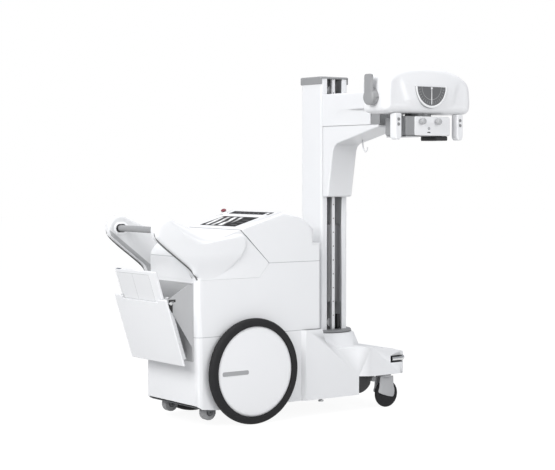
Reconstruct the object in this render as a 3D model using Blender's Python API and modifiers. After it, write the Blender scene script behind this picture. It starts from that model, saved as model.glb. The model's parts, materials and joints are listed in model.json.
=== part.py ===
# Mobile X-ray unit: a wheeled cabinet with a turning column, a sliding arm and a tube head.
# Metres, +Z up. X runs forward and Y to the left, counted from the middle of the rear axle on
# the floor. One empty then moves the whole machine, so that the world origin lies on the floor
# under the middle of its outline.
import math

import bmesh
import bpy
from mathutils import Matrix, Vector

# Clearances and walls
GAP = 0.0003            # between pieces that touch
RUN = 0.0006            # between pieces that slide or turn
WALL = 0.005            # moulded covers

# Rear wheels
WHEEL_R = 0.27
WHEEL_SPACE = 0.010     # between the cabinet's side and a tyre
TYRE_W = 0.045
DISC_R = 0.229
AXLE_R = 0.018

# Covers
BODY_HALF = 0.245       # half width of the cabinet
WHEEL_FACE = BODY_HALF + WHEEL_SPACE + TYRE_W   # outer face of a wheel, from the middle
BASE_HALF = BODY_HALF + 0.017   # half width of the base in front of the rear wheels
WING_HALF = 0.300       # half width over the casters
REAR_X = -0.319
CABINET_FRONT = 0.452
WING_START = 0.70
BASE_FRONT = 1.005
FLOOR_GAP = 0.086       # underside of the base
WING_Z = 0.185          # underside of the front wings
DECK_Z = 0.340          # top of the front deck
SEAM_Z = 0.455          # base to cabinet
SHOULDER_Z = 0.74       # cabinet to handle cover
UPPER_SEAM_Z = 0.812    # cabinet to console cover
CORNER_R = 0.030
EDGE_R = 0.012          # rounding of the upper covers

# Handle
BAR_X = -0.497
BAR_Z = 0.990
BAR_R = 0.016
NOSE_R = 0.065          # round end of a handle arm
ARM_IN = BODY_HALF - 0.051      # inner face of a handle arm, wide enough for the detector to pass
BAR_TRAVEL = 0.006

# Column
COLUMN_X = 0.668
COLUMN_HALF = 0.089
COLUMN_WALL = 0.007
SLOT_HALF = 0.0515
COLUMN_BOTTOM = 0.425
COLUMN_TOP = 1.775
TURNTABLE_R = 0.148
PEDESTAL_Z = 0.410
RAIL_HALF = 0.0095
PULLEY_R = 0.024
BELT_T = 0.002
PULLEY_LOW = 0.462
PULLEY_HIGH = COLUMN_TOP - 0.060

# Arm and head, at rest with the arm swung to the right-hand side (-Y)
ARM_TOP = COLUMN_TOP - 0.085
ARM_SEAM = ARM_TOP - 0.170
BRACKET_FOOT = ARM_SEAM - 0.378
ARM_HALF = 0.085
ARM_END = 0.560         # reach of the arm from the column's axis
ROLL_Z = ARM_TOP - 0.050
FLANGE_R = 0.052
TILT_Y = -0.615
TILT_Z = ROLL_Z + 0.110  # high on the head's back, so that its crown clears the arm
HEAD_HALF = 0.290
HEAD_BACK = -0.660
HEAD_FRONT = -0.860
HEAD_LOW = ROLL_Z - 0.075
HEAD_H = 0.235
HEAD_TOP = HEAD_LOW + HEAD_H
DIAL_R = 0.095
DIAL_Z = HEAD_LOW + 0.133
HEAD_MID = (HEAD_BACK + HEAD_FRONT) / 2
COLLIMATOR_HALF = 0.150
COLLIMATOR_FRONT = -0.840
COLLIMATOR_BACK = -0.680
COLLIMATOR_LOW = HEAD_LOW - 0.110
KNOB_LENGTH = 0.030
GRIP_X = 0.205

# Casters, rollers and bumper
CASTER_X = 0.885
CASTER_Y = 0.250
CASTER_R = 0.075
CASTER_LEAD = 0.014
ROLLER_X = -0.215
ROLLER_Y = 0.177
ROLLER_R = 0.040
ROLLER_Z = 0.070
BUMPER_Z = 0.266
BUMPER_R = 0.016
BUMPER_TRAVEL = 0.008
BUMPER_END = 0.890      # rear end of the groove
BUMPER_FRONT = 1.028    # front of the bumper, the machine's foremost point

# Detector bin
HINGE_X = -0.352
HINGE_Z = 0.365
BIN_LEAN = math.radians(17.5)
BIN_HALF = 0.205
BIN_H = 0.315
PANEL_HALF = 0.250
DETECTOR_W = 0.384
DETECTOR_H = 0.460
DETECTOR_T = 0.015

# World origin: under the middle of the outline at rest
REARMOST = BAR_X - NOSE_R
CENTRE_X = (REARMOST + BUMPER_FRONT) / 2
RIGHTMOST = COLLIMATOR_FRONT - KNOB_LENGTH - RUN
CENTRE_Y = (RIGHTMOST + WHEEL_FACE) / 2

for old in list(bpy.data.objects):
    bpy.data.objects.remove(old)


def collection(name):
    made = bpy.data.collections.new(name)
    bpy.context.scene.collection.children.link(made)
    return made


PARTS = collection("mobile_xray_unit")
CUTTERS = collection("cutters")
MATERIALS = {}


def material(name, colour, roughness=0.45, metallic=0.0):
    made = bpy.data.materials.new(name)
    made.use_nodes = True
    shader = made.node_tree.nodes["Principled BSDF"]
    shader.inputs["Base Color"].default_value = (*colour, 1)
    shader.inputs["Roughness"].default_value = roughness
    shader.inputs["Metallic"].default_value = metallic
    MATERIALS[name] = made


material("white_cover", (0.86, 0.87, 0.88), 0.35)
material("grey_plastic", (0.52, 0.53, 0.54), 0.45)
material("dark_plastic", (0.05, 0.05, 0.055), 0.5)
material("black_rubber", (0.03, 0.03, 0.035), 0.8)
material("grey_rubber", (0.45, 0.46, 0.47), 0.7)
material("black_glass", (0.01, 0.01, 0.012), 0.08)
material("frame_steel", (0.35, 0.36, 0.37), 0.45, 1.0)
material("bright_steel", (0.75, 0.76, 0.77), 0.2, 1.0)
material("aluminium", (0.70, 0.71, 0.72), 0.35, 1.0)
material("lead", (0.25, 0.26, 0.28), 0.5, 1.0)
material("red_plastic", (0.55, 0.03, 0.06), 0.4)
material("blue_battery", (0.08, 0.10, 0.16), 0.5)


def empty(name, place, parent=None):
    made = bpy.data.objects.new(name, None)
    PARTS.objects.link(made)
    made.parent = parent
    above = Vector(parent["place"]) if parent else Vector((CENTRE_X, CENTRE_Y, 0))
    made["place"] = tuple(place)
    made.location = Vector(place) - above
    return made


MACHINE = empty("machine", (0, 0, 0))


def put(name, mesh, finish, pivot):
    """Links a mesh drawn in machine coordinates, with its origin on its pivot."""
    mesh.transform(Matrix.Translation(-Vector(pivot["place"])))
    made = bpy.data.objects.new(name, mesh)
    made.parent = pivot
    if finish:
        PARTS.objects.link(made)
        mesh.materials.append(MATERIALS[finish])
        mesh.shade_smooth()
        mesh.set_sharp_from_angle(angle=math.radians(35))
    else:
        CUTTERS.objects.link(made)
        made.hide_render = True
        made.display_type = "WIRE"
    return made


def bevel(piece, width, segments=2, angle=35):
    rounded = piece.modifiers.new("round", "BEVEL")
    rounded.width = width
    rounded.segments = segments
    rounded.limit_method = "ANGLE"
    rounded.angle_limit = math.radians(angle)
    return piece


def boolean(piece, operation, others):
    for other in others:
        step = piece.modifiers.new(operation.lower(), "BOOLEAN")
        step.operation = operation
        step.object = other
    return piece


def cut(piece, *others):
    return boolean(piece, "DIFFERENCE", others)


def join(piece, *others):
    return boolean(piece, "UNION", others)


def keep_inside(piece, *others):
    return boolean(piece, "INTERSECT", others)


def block(name, low, high, finish=None, pivot=MACHINE):
    shape = bmesh.new()
    bmesh.ops.create_cube(shape, size=1)
    size = Vector(high) - Vector(low)
    bmesh.ops.scale(shape, vec=size, verts=shape.verts)
    bmesh.ops.translate(shape, vec=(Vector(low) + Vector(high)) / 2, verts=shape.verts)
    mesh = bpy.data.meshes.new(name)
    shape.to_mesh(mesh)
    shape.free()
    return put(name, mesh, finish, pivot)


def rod(name, start, end, radius, finish=None, pivot=MACHINE, sides=24, end_radius=None):
    start, end = Vector(start), Vector(end)
    along = end - start
    shape = bmesh.new()
    bmesh.ops.create_cone(
        shape, cap_ends=True, segments=sides, radius1=radius,
        radius2=radius if end_radius is None else end_radius, depth=along.length,
    )
    half_side = Matrix.Rotation(math.pi / sides, 4, "Z")
    turn = along.to_track_quat("Z", "Y").to_matrix().to_4x4()
    shape.transform(Matrix.Translation((start + end) / 2) @ turn @ half_side)
    mesh = bpy.data.meshes.new(name)
    shape.to_mesh(mesh)
    shape.free()
    return put(name, mesh, finish, pivot)


def evaluated_mesh(guide, name, whole_faces=False):
    bpy.context.view_layer.update()
    graph = bpy.context.evaluated_depsgraph_get()
    mesh = bpy.data.meshes.new_from_object(guide.evaluated_get(graph))
    mesh.name = name
    mesh.transform(guide.matrix_world)
    bpy.data.objects.remove(guide)
    shape = bmesh.new()
    shape.from_mesh(mesh)
    bmesh.ops.remove_doubles(shape, verts=shape.verts, dist=1e-6)
    if whole_faces:
        bmesh.ops.dissolve_limit(shape, angle_limit=0.001, verts=shape.verts, edges=shape.edges)
    bmesh.ops.recalc_face_normals(shape, faces=shape.faces)
    shape.to_mesh(mesh)
    shape.free()
    return mesh


def turned(name, profile, centre, axis, finish=None, pivot=MACHINE, steps=40):
    """Screws a closed profile of (radius, height) about an axis through the centre."""
    mesh = bpy.data.meshes.new(name)
    count = len(profile)
    edges = [(i, (i + 1) % count) for i in range(count)]
    if profile[0][0] == 0 and profile[-1][0] == 0:
        edges.pop()
    mesh.from_pydata([(r, 0, h) for r, h in profile], edges, [])
    guide = bpy.data.objects.new(name + "_profile", mesh)
    PARTS.objects.link(guide)
    screw = guide.modifiers.new("turn", "SCREW")
    screw.steps = screw.render_steps = steps
    screw.use_merge_vertices = True
    screw.merge_threshold = 0.00001
    turn = Vector(axis).to_track_quat("Z", "Y").to_matrix().to_4x4()
    guide.matrix_world = Matrix.Translation(centre) @ turn @ Matrix.Rotation(math.pi / steps, 4, "Z")
    return put(name, evaluated_mesh(guide, name), finish, pivot)


PLANES = {
    "XY": Matrix(((1, 0, 0), (0, 1, 0), (0, 0, 1))).to_4x4(),
    "XZ": Matrix(((1, 0, 0), (0, 0, -1), (0, 1, 0))).to_4x4(),
    "YZ": Matrix(((0, 0, 1), (1, 0, 0), (0, 1, 0))).to_4x4(),
}
NORMALS = {"XY": (0, 0, 1), "XZ": (0, 1, 0), "YZ": (1, 0, 0)}


def plate(name, outlines, plane, low, high, finish=None, pivot=MACHINE):
    """Extrudes flat outlines, the first the rim and the rest holes, from low to high."""
    curve = bpy.data.curves.new(name, "CURVE")
    curve.dimensions = "2D"
    curve.fill_mode = "BOTH"
    curve.extrude = (high - low) / 2
    for outline in outlines:
        spline = curve.splines.new("POLY")
        spline.points.add(len(outline) - 1)
        for point, (a, b) in zip(spline.points, outline):
            point.co = (a, b, 0, 1)
        spline.use_cyclic_u = True
    guide = bpy.data.objects.new(name + "_outline", curve)
    PARTS.objects.link(guide)
    middle = Vector(NORMALS[plane]) * ((low + high) / 2)
    guide.matrix_world = Matrix.Translation(middle) @ PLANES[plane]
    return put(name, evaluated_mesh(guide, name, len(outlines) == 1), finish, pivot)


def pipe(name, path, radius, finish=None, pivot=MACHINE, resolution=2):
    curve = bpy.data.curves.new(name, "CURVE")
    curve.dimensions = "3D"
    curve.bevel_depth = radius
    curve.bevel_resolution = resolution
    curve.use_fill_caps = True
    spline = curve.splines.new("POLY")
    spline.points.add(len(path) - 1)
    for point, place in zip(spline.points, path):
        point.co = (*place, 1)
    guide = bpy.data.objects.new(name + "_path", curve)
    PARTS.objects.link(guide)
    return put(name, evaluated_mesh(guide, name), finish, pivot)


def arc(centre, radius, start, end, steps):
    """Points round a centre from one angle to another, in degrees."""
    angles = [math.radians(start + (end - start) * i / steps) for i in range(steps + 1)]
    return [(centre[0] + radius * math.cos(a), centre[1] + radius * math.sin(a)) for a in angles]


def rounded_box(low, high, radius, steps=4):
    """A rectangle's outline with round corners."""
    (x0, y0), (x1, y1) = low, high
    r = radius
    return (
        arc((x1 - r, y1 - r), r, 0, 90, steps) + arc((x0 + r, y1 - r), r, 90, 180, steps)
        + arc((x0 + r, y0 + r), r, 180, 270, steps) + arc((x1 - r, y0 + r), r, 270, 360, steps)
    )


def mirrored(half):
    """A half outline at +Y and its mirror image, as one outline."""
    return half + [(x, -y) for x, y in reversed(half)]


def both(build):
    """Runs a builder for the right-hand side (-1) and the left-hand side (+1)."""
    return {side: build(name, side) for name, side in (("right", -1), ("left", 1))}


# Covers
def plan_outline(inset=0.0, wings=True):
    """The base seen from above: narrow beside the rear wheels, wide over the casters."""
    body, base, wing = BODY_HALF - inset, BASE_HALF - inset, WING_HALF - inset
    rear, front = REAR_X + inset, BASE_FRONT - inset
    if not wings:
        front = CABINET_FRONT - inset
        half = arc((front - EDGE_R + inset / 2, body - EDGE_R + inset / 2), EDGE_R - inset / 2, 0, 90, 2)
    else:
        nose = 0.05
        half = [(front + 0.012, 0.10)] + arc((front - nose, wing - nose), nose, 10, 90, 4)
        half += [(0.755, wing), (WING_START, base), (0.345, base), (0.325, body)]
    radius = CORNER_R - inset / 2
    half += arc((rear + radius, body - radius), radius, 90, 180, 3)
    return mirrored(half)


def base_profile():
    rear_lift = 0.03
    return [
        (REAR_X - 0.02, FLOOR_GAP + rear_lift + 0.01), (REAR_X, FLOOR_GAP + rear_lift),
        (REAR_X + 0.03, FLOOR_GAP + 0.01), (REAR_X + 0.12, FLOOR_GAP), (WING_START, FLOOR_GAP),
        (WING_START, WING_Z), (BASE_FRONT - 0.01, WING_Z), (BASE_FRONT + 0.014, WING_Z + 0.02),
        (BASE_FRONT + 0.014, 0.280), (BASE_FRONT - 0.015, 0.302), (0.90, 0.325),
        (0.74, DECK_Z), (0.56, DECK_Z), (0.50, DECK_Z + 0.018), (0.468, DECK_Z + 0.058),
        (CABINET_FRONT, SEAM_Z), (REAR_X - 0.02, SEAM_Z),
    ]


def hollow_profile():
    """Room inside the base: open below the cabinet, floored inside the wings."""
    w = WALL
    return [
        (REAR_X, FLOOR_GAP - 0.02), (WING_START - w, FLOOR_GAP - 0.02),
        (WING_START - w, WING_Z + w), (CASTER_X + 0.07, WING_Z + w),
        (CASTER_X + 0.07, BUMPER_Z - 0.031), (0.860, BUMPER_Z - 0.031),
        (0.860, DECK_Z - w - 0.010), (0.74, DECK_Z - w), (0.56, DECK_Z - w),
        (0.50 - w, DECK_Z + 0.018 - w), (0.468 - w, DECK_Z + 0.056),
        (CABINET_FRONT - w, SEAM_Z + 0.02), (REAR_X, SEAM_Z + 0.02),
    ]


def bumper_groove():
    """A ring-shaped cutter round the nose, deep enough for the bumper's travel."""
    depth = 2 * BUMPER_R + BUMPER_TRAVEL + 0.004
    inner_half = WING_HALF - depth
    bend = 0.03
    core = arc((BUMPER_FRONT - depth - bend, inner_half - bend), bend, 0, 90, 3)
    core += [(BUMPER_END, inner_half), (BUMPER_END, WING_HALF + 0.05), (BUMPER_FRONT + 0.05, WING_HALF + 0.05)]
    half = BUMPER_R + 0.0025
    right = [(x, -y) for x, y in reversed(core)]
    return plate("bumper_groove", [right + core], "XY", BUMPER_Z - half, BUMPER_Z + half)


def base_cover():
    wide = WING_HALF + 0.02
    cover = plate("base_cover", [base_profile()], "XZ", -wide, wide, "white_cover")
    plan = plate("base_plan", [plan_outline()], "XY", 0, 1)
    room = plate("base_room", [hollow_profile()], "XZ", -wide, wide)
    keep_inside(room, plate("base_room_plan", [plan_outline(WALL)], "XY", 0, 1))
    pedestal = turned(
        "base_pedestal",
        [(0, PEDESTAL_Z), (0.150, PEDESTAL_Z), (0.162, PEDESTAL_Z - 0.008),
         (0.196, DECK_Z - 0.02), (0, DECK_Z - 0.02)],
        (COLUMN_X, 0, 0), (0, 0, 1), steps=32,
    )
    well = rod("base_well", (COLUMN_X, 0, DECK_Z - 0.06), (COLUMN_X, 0, PEDESTAL_Z + 0.01), 0.118)
    keep_inside(cover, plan)
    join(cover, pedestal)
    cut(cover, room, well, bumper_groove())
    for side in (-1, 1):
        y = side * 0.15
        cut(cover, rod(f"plunger_bore_{side}", (0.93, y, BUMPER_Z), (1.05, y, BUMPER_Z), 0.0085, sides=12))
        stem = (CASTER_X, side * CASTER_Y)
        cut(cover, rod(f"stem_hole_{side}", (*stem, WING_Z - 0.01), (*stem, WING_Z + 0.02), 0.030))
    return cover


def soften(piece, width, chosen):
    """Rounds the edges whose middle the chosen test accepts."""
    mesh = piece.data
    weights = mesh.attributes.new("bevel_weight_edge", "FLOAT", "EDGE")
    shift = Vector(piece.parent["place"])
    for edge in mesh.edges:
        a, b = (mesh.vertices[i].co + shift for i in edge.vertices)
        weights.data[edge.index].value = 1.0 if abs(a.y - b.y) < 1e-6 and chosen((a + b) / 2) else 0.0
    rounded = piece.modifiers.new("soft_edges", "BEVEL")
    rounded.limit_method = "WEIGHT"
    rounded.width = width
    rounded.segments = 2
    return piece


def cabinet_cover():
    low, w = SEAM_Z + GAP, WALL
    step = UPPER_SEAM_Z - GAP
    profile = [
        (REAR_X - 0.02, low), (CABINET_FRONT + 0.02, low), (CABINET_FRONT + 0.02, step),
        (0.12, step), (0.06, SHOULDER_Z - GAP), (REAR_X - 0.02, SHOULDER_Z - GAP),
    ]
    cover = plate("cabinet_cover", [profile], "XZ", -0.3, 0.3, "white_cover")
    keep_inside(cover, plate("cabinet_plan", [plan_outline(wings=False)], "XY", 0.4, 0.9))
    return cut(cover, plate("cabinet_room", [plan_outline(w, wings=False)], "XY", 0.4, 0.9))


SEAM_FOOT = (0.06, SHOULDER_Z)
SEAM_KNEE = (0.12, UPPER_SEAM_Z)
SEAM_HEAD = (-0.055, 0.985)


def arm_profile():
    """Side view of a handle arm, from its foot on the rear face round its nose to the console."""
    nose = arc((BAR_X, BAR_Z), NOSE_R, 225, 67.5, 7)
    return [
        (REAR_X, SHOULDER_Z), (REAR_X - 0.012, 0.760), (-0.352, 0.800), *nose,
        (-0.415, 1.025), (-0.350, 0.998), (-0.290, 0.975), (-0.220, 0.958), (-0.140, 0.958),
        SEAM_HEAD, SEAM_KNEE, SEAM_FOOT,
    ]


def handle_cover():
    """The rear cover: two handle arms joined by the back of the console."""
    low = SHOULDER_Z
    w = WALL
    middle = [
        (REAR_X, low), (REAR_X, 0.85), (-0.290, 0.895), (-0.235, 0.930), (-0.170, 0.950),
        SEAM_HEAD, SEAM_KNEE, SEAM_FOOT,
    ]
    room = [
        (REAR_X + w, low - 0.05), (REAR_X + w, 0.848), (-0.287, 0.889), (-0.232, 0.924),
        (-0.169, 0.944), (-0.055, 0.978), (0.10, 0.975), (0.2, 0.8), (0.2, low - 0.05),
    ]
    half = BODY_HALF - 0.02
    cover = plate("handle_cover", [middle], "XZ", -half, half, "white_cover")
    for side in (-1, 1):
        edges = sorted((side * ARM_IN, side * BODY_HALF))
        arm = plate(f"handle_arm_{side}", [arm_profile()], "XZ", *edges)
        join(cover, soften(arm, EDGE_R, lambda p: p.x < -0.05 and p.z > SHOULDER_Z + 0.005))
    cut(cover, plate("handle_room", [room], "XZ", WALL - BODY_HALF, BODY_HALF - WALL))
    for side in (-1, 1):
        window = arc((BAR_X, BAR_Z), BAR_R + 0.0045, 0, 360, 16)[:-1]
        stretch = [(BAR_X + (x - BAR_X) * 1.45, z) for x, z in window]
        edges = sorted((side * (ARM_IN - 0.02), side * (ARM_IN + 0.038)))
        cut(cover, plate(f"bar_window_{side}", [stretch], "XZ", *edges))
    return cover


CONSOLE_REAR, CONSOLE_RIDGE = (-0.051, 0.994), (0.215, 1.070)
CONSOLE_LEAN = math.atan2(CONSOLE_RIDGE[1] - CONSOLE_REAR[1], CONSOLE_RIDGE[0] - CONSOLE_REAR[0])


def on_console(x):
    return x, CONSOLE_REAR[1] + (x - CONSOLE_REAR[0]) * math.tan(CONSOLE_LEAN)


def console_cover():
    """The front upper cover, with the sloping console top and two recesses."""
    rear = (SEAM_HEAD[0] + GAP, SEAM_HEAD[1] + GAP)
    profile = [
        rear, (SEAM_KNEE[0] + GAP, UPPER_SEAM_Z), (CABINET_FRONT, UPPER_SEAM_Z),
        (CABINET_FRONT, 0.905), (0.404, 0.905), (0.404, 0.980), (0.376, 1.008),
        (0.335, 1.036), (0.300, 1.050), CONSOLE_RIDGE, CONSOLE_REAR,
    ]
    room = [
        (-0.07, 0.978), (0.20, 1.055), (0.29, 1.036), (0.33, 1.024), (0.370, 0.998), (0.399, 0.972),
        (0.399, 0.900), (CABINET_FRONT - WALL, 0.900), (CABINET_FRONT - WALL, 0.78), (-0.07, 0.78),
    ]
    cover = plate("console_cover", [profile], "XZ", -BODY_HALF, BODY_HALF, "white_cover")
    soften(cover, EDGE_R, lambda p: p.z > UPPER_SEAM_Z + 0.005 and not (p.x < 0.10 and p.z < 0.98))
    cut(cover, plate("console_room", [room], "XZ", WALL - BODY_HALF, BODY_HALF - WALL))
    for name, (rear, front, half, depth) in RECESSES.items():
        cut(cover, slab(name + "_recess", rear, front, half + GAP, -depth, 0.02, GAP))
    return cover


def slab(name, rear, front, half, low, high, grow=0.0, finish=None):
    """A plate that lies on the console's slope between two places along it."""
    along = Vector((math.cos(CONSOLE_LEAN), math.sin(CONSOLE_LEAN)))
    up = Vector((-along.y, along.x))
    a, b = Vector(on_console(rear)) - along * grow, Vector(on_console(front)) + along * grow
    outline = [a + up * low, b + up * low, b + up * high, a + up * high]
    return plate(name, [[tuple(p) for p in outline]], "XZ", -half, half, finish)


# Rear edge, front edge, half width and depth of the recess
RECESSES = {
    "screen_unit": (-0.035, 0.115, 0.160, 0.0040),
    "key_strip": (0.160, 0.200, 0.178, 0.0035),
}


def console_parts():
    for name, (rear, front, half, depth) in RECESSES.items():
        slab(name, rear, front, half, GAP - depth, 0.001, 0, "black_glass")


BUTTON_X, BUTTON_Y = 0.150, BODY_HALF - 0.040
BUTTON_TRAVEL = 0.004


def emergency_stop():
    """A mushroom button on a round base, on the console's left rim."""
    normal = Vector((-math.sin(CONSOLE_LEAN), 0, math.cos(CONSOLE_LEAN)))
    x, z = on_console(BUTTON_X)
    foot = Vector((x, BUTTON_Y, z))
    pivot = empty("stop_button_pivot", foot, MACHINE)
    base_top = 0.012
    base = turned("stop_base", [(0.0062, base_top), (0.013, base_top), (0.016, base_top - 0.003),
                                (0.016, -0.003), (0.0062, -0.003)], foot, normal, steps=24)
    join(bpy.data.objects["console_cover"], base)
    low = base_top + BUTTON_TRAVEL + RUN
    stem = BUTTON_TRAVEL + 2 * RUN
    turned("stop_button", [(0, low + 0.012), (0.008, low + 0.011), (0.0145, low + 0.006),
                           (0.0145, low), (0.0055, low), (0.0055, stem), (0, stem)],
           foot, normal, "red_plastic", pivot, steps=24)


# Frame and the equipment inside
RAIL_TOP = 0.154
SPIGOT_R = 0.045


def base_frame():
    """Tray, two rails, the column's post, the caster plates and the roller ears, as one weldment."""
    tray_half = BODY_HALF - WALL - 0.0006
    frame = block("base_frame", (REAR_X + WALL + CORNER_R, -tray_half, 0.094),
                  (WING_START - WALL - 0.0006, tray_half, 0.099), "frame_steel")
    for side in (-1, 1):
        y = side * 0.15
        join(frame, block(f"frame_rail_{side}", (-0.27, y - 0.02, 0.096), (0.66, y + 0.02, RAIL_TOP)))
        join(frame, block(f"frame_arm_{side}", (0.64, y - 0.06, 0.110), (0.69, y + 0.06, 0.23)))
        wide, narrow = CASTER_Y + 0.035, BASE_HALF - WALL - 0.006
        seat = [(0.66, 0.10), (CASTER_X + 0.04, 0.10), (CASTER_X + 0.04, wide), (0.765, wide),
                (0.720, narrow), (0.66, narrow)]
        join(frame, plate(f"caster_plate_{side}", [[(x_, side * y_) for x_, y_ in seat]], "XY",
                          WING_Z + WALL + GAP, WING_Z + WALL + 0.012))
        cut(frame, rod(f"caster_bore_{side}", (CASTER_X, side * CASTER_Y, 0.15),
                       (CASTER_X, side * CASTER_Y, 0.25), 0.0146))
        for ear in (-1, 1):
            middle = side * ROLLER_Y + ear * 0.0256
            join(frame, plate(f"roller_ear_{side}_{ear}", [
                [(ROLLER_X - 0.03, 0.096)] + arc((ROLLER_X, ROLLER_Z), 0.014, 180, 360, 6)
                + [(ROLLER_X + 0.03, 0.096)]], "XZ", middle - 0.0025, middle + 0.0025))
            bore = [(ROLLER_X, middle + 0.01, ROLLER_Z), (ROLLER_X, middle - 0.01, ROLLER_Z)]
            cut(frame, rod(f"roller_bore_{side}_{ear}", *bore, 0.0056, sides=16))
        pocket = sorted((side * (ROLLER_Y - 0.0225), side * (ROLLER_Y + 0.0225)))
        cut(frame, block(f"roller_pocket_{side}", (ROLLER_X - 0.045, pocket[0], 0.05),
                         (ROLLER_X + 0.045, pocket[1], ROLLER_Z + ROLLER_R + 0.003)))
    post = rod("column_post", (COLUMN_X - 0.05, 0, 0.096), (COLUMN_X - 0.05, 0, 0.12), 0.06)
    stand = turned("column_stand", [
        (0, PEDESTAL_Z), (0.108, PEDESTAL_Z), (0.108, PEDESTAL_Z - 0.024), (0.095, PEDESTAL_Z - 0.024),
        (0.095, 0.20), (0, 0.20)], (COLUMN_X, 0, 0), (0, 0, 1), steps=24)
    join(frame, post, stand, block("column_beam", (0.56, -0.14, 0.110), (0.69, 0.14, 0.225)))
    cut(frame, rod("spigot_bore", (COLUMN_X, 0, 0.33), (COLUMN_X, 0, 0.42), SPIGOT_R + RUN, sides=24))
    return frame


def equipment():
    low = RAIL_TOP + GAP
    bevel(block("battery_pack", (-0.29, -0.19, low), (-0.10, 0.19, 0.40), "blue_battery"), 0.006, 1)
    generator = block("hv_generator", (0.11, -0.19, low), (0.42, 0.19, 0.44), "grey_plastic")
    for i in range(5):
        x = 0.15 + 0.05 * i
        cut(generator, block(f"cooling_groove_{i}", (x, -0.17, 0.42), (x + 0.02, 0.17, 0.46)))
    rack = block("control_unit", (-0.29, -0.20, 0.455), (0.09, 0.20, 0.460), "grey_plastic")
    for x in (-0.085, 0.075):
        for side in (-1, 1):
            y = side * 0.15
            join(rack, block(f"rack_leg_{x}_{side}", (x, y - 0.012, low), (x + 0.012, y + 0.012, 0.457)))
    join(rack, bevel(block("control_box", (-0.26, -0.17, 0.458), (0.06, 0.17, 0.62)), 0.005, 1))


# Rear wheels
def rear_wheel(name, side):
    axis = (0, side, 0)
    centre = (0, side * WHEEL_FACE, WHEEL_R)
    pivot = empty(f"wheel_{name}_pivot", (0, 0, WHEEL_R), MACHINE)
    edge = 0.012
    tyre = [
        (DISC_R + GAP, 0), (WHEEL_R - edge, 0), (WHEEL_R, -edge), (WHEEL_R, -TYRE_W + edge),
        (WHEEL_R - edge, -TYRE_W), (DISC_R + GAP, -TYRE_W),
    ]
    turned(f"tyre_{name}", tyre, centre, axis, "black_rubber", pivot, steps=36)
    hub = 0.05
    disc = [
        (0, -0.004), (0.15, -0.004), (DISC_R - 0.008, -0.005), (DISC_R, -0.010),
        (DISC_R, -TYRE_W + 0.006), (DISC_R - 0.02, -TYRE_W + 0.006), (hub, -TYRE_W + 0.006),
        (hub, -TYRE_W - 0.004), (AXLE_R, -TYRE_W - 0.004), (AXLE_R, -0.11), (0, -0.11),
    ]
    body = turned(f"wheel_disc_{name}", disc, centre, axis, "white_cover", pivot, steps=36)
    outline = rounded_box((-0.203, WHEEL_R - 0.011), (-0.045, WHEEL_R + 0.011), 0.004, 1)
    slot = plate(f"wheel_slot_{name}", [outline],
                 "XZ", *sorted((side * (WHEEL_FACE - 0.009), side * (WHEEL_FACE + 0.01))), None, pivot)
    cut(body, slot)


def drive_axle():
    """A beam across the rails with a gearbox and a motor for each rear wheel."""
    axle = block("drive_axle", (-0.050, -0.15, RAIL_TOP + GAP), (0.050, 0.15, 0.185), "aluminium")
    for side in (-1, 1):
        y = sorted((side * 0.130, side * (BODY_HALF - 0.007)))
        box = block(f"gearbox_{side}", (-0.065, y[0], RAIL_TOP + GAP), (0.065, y[1], 0.335))
        join(axle, bevel(box, 0.008, 1))
        join(axle, rod(f"motor_{side}", (0, side * 0.14, 0.27), (0, side * 0.06, 0.27), 0.048, sides=20))
        bore = rod(f"axle_bore_{side}", (0, side * (WHEEL_FACE - 0.12), WHEEL_R),
                   (0, side * (BODY_HALF + 0.005), WHEEL_R), AXLE_R + RUN, sides=24)
        cut(axle, bore)
        hole = rod(f"cover_hole_{side}", (0, side * (BODY_HALF - 0.025), WHEEL_R),
                   (0, side * (BODY_HALF + 0.025), WHEEL_R), 0.052)
        cut(bpy.data.objects["base_cover"], hole)


# Casters and rollers
def caster(name, side):
    x, y = CASTER_X, side * CASTER_Y
    swivel = empty(f"caster_{name}_pivot", (x, y, WING_Z), MACHINE)
    wheel_x = x + CASTER_LEAD
    top = WING_Z - 0.004
    fork = turned(f"caster_fork_{name}", [
        (0, top), (0.034, top), (0.040, top - 0.004), (0.040, top - 0.012), (0, top - 0.012)],
        (x, y, 0), (0, 0, 1), "grey_plastic", swivel, steps=16)
    stem = rod(f"caster_stem_{name}", (x, y, top - 0.006), (x, y, WING_Z + WALL + 0.011), 0.0140)
    join(fork, stem)
    leg = [
        (wheel_x - 0.022, CASTER_R - 0.012), (wheel_x + 0.010, CASTER_R - 0.018),
        (wheel_x + 0.018, CASTER_R + 0.004), (x + 0.022, top - 0.045), (x + 0.034, top - 0.008),
        (x - 0.034, top - 0.008), (wheel_x - 0.030, CASTER_R + 0.030),
    ]
    for leg_side in (-1, 1):
        middle = y + leg_side * 0.0206
        join(fork, plate(f"caster_leg_{name}_{leg_side}", [leg], "XZ", middle - 0.002, middle + 0.002))
    pin = [(wheel_x, y - 0.0225, CASTER_R), (wheel_x, y + 0.0225, CASTER_R)]
    join(fork, rod(f"caster_pin_{name}", *pin, 0.006, sides=16))
    spin = empty(f"caster_wheel_{name}_pivot", (wheel_x, y, CASTER_R), swivel)
    half = 0.016
    turned(f"caster_wheel_{name}", [
        (0.0066, half + 0.002), (0.052, half - 0.003), (CASTER_R - 0.006, half), (CASTER_R, half - 0.007),
        (CASTER_R, -half + 0.007), (CASTER_R - 0.006, -half), (0.052, -half + 0.003), (0.0066, -half - 0.002)],
        (wheel_x, y, CASTER_R), (0, 1, 0), "black_rubber", spin, steps=24)


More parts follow.
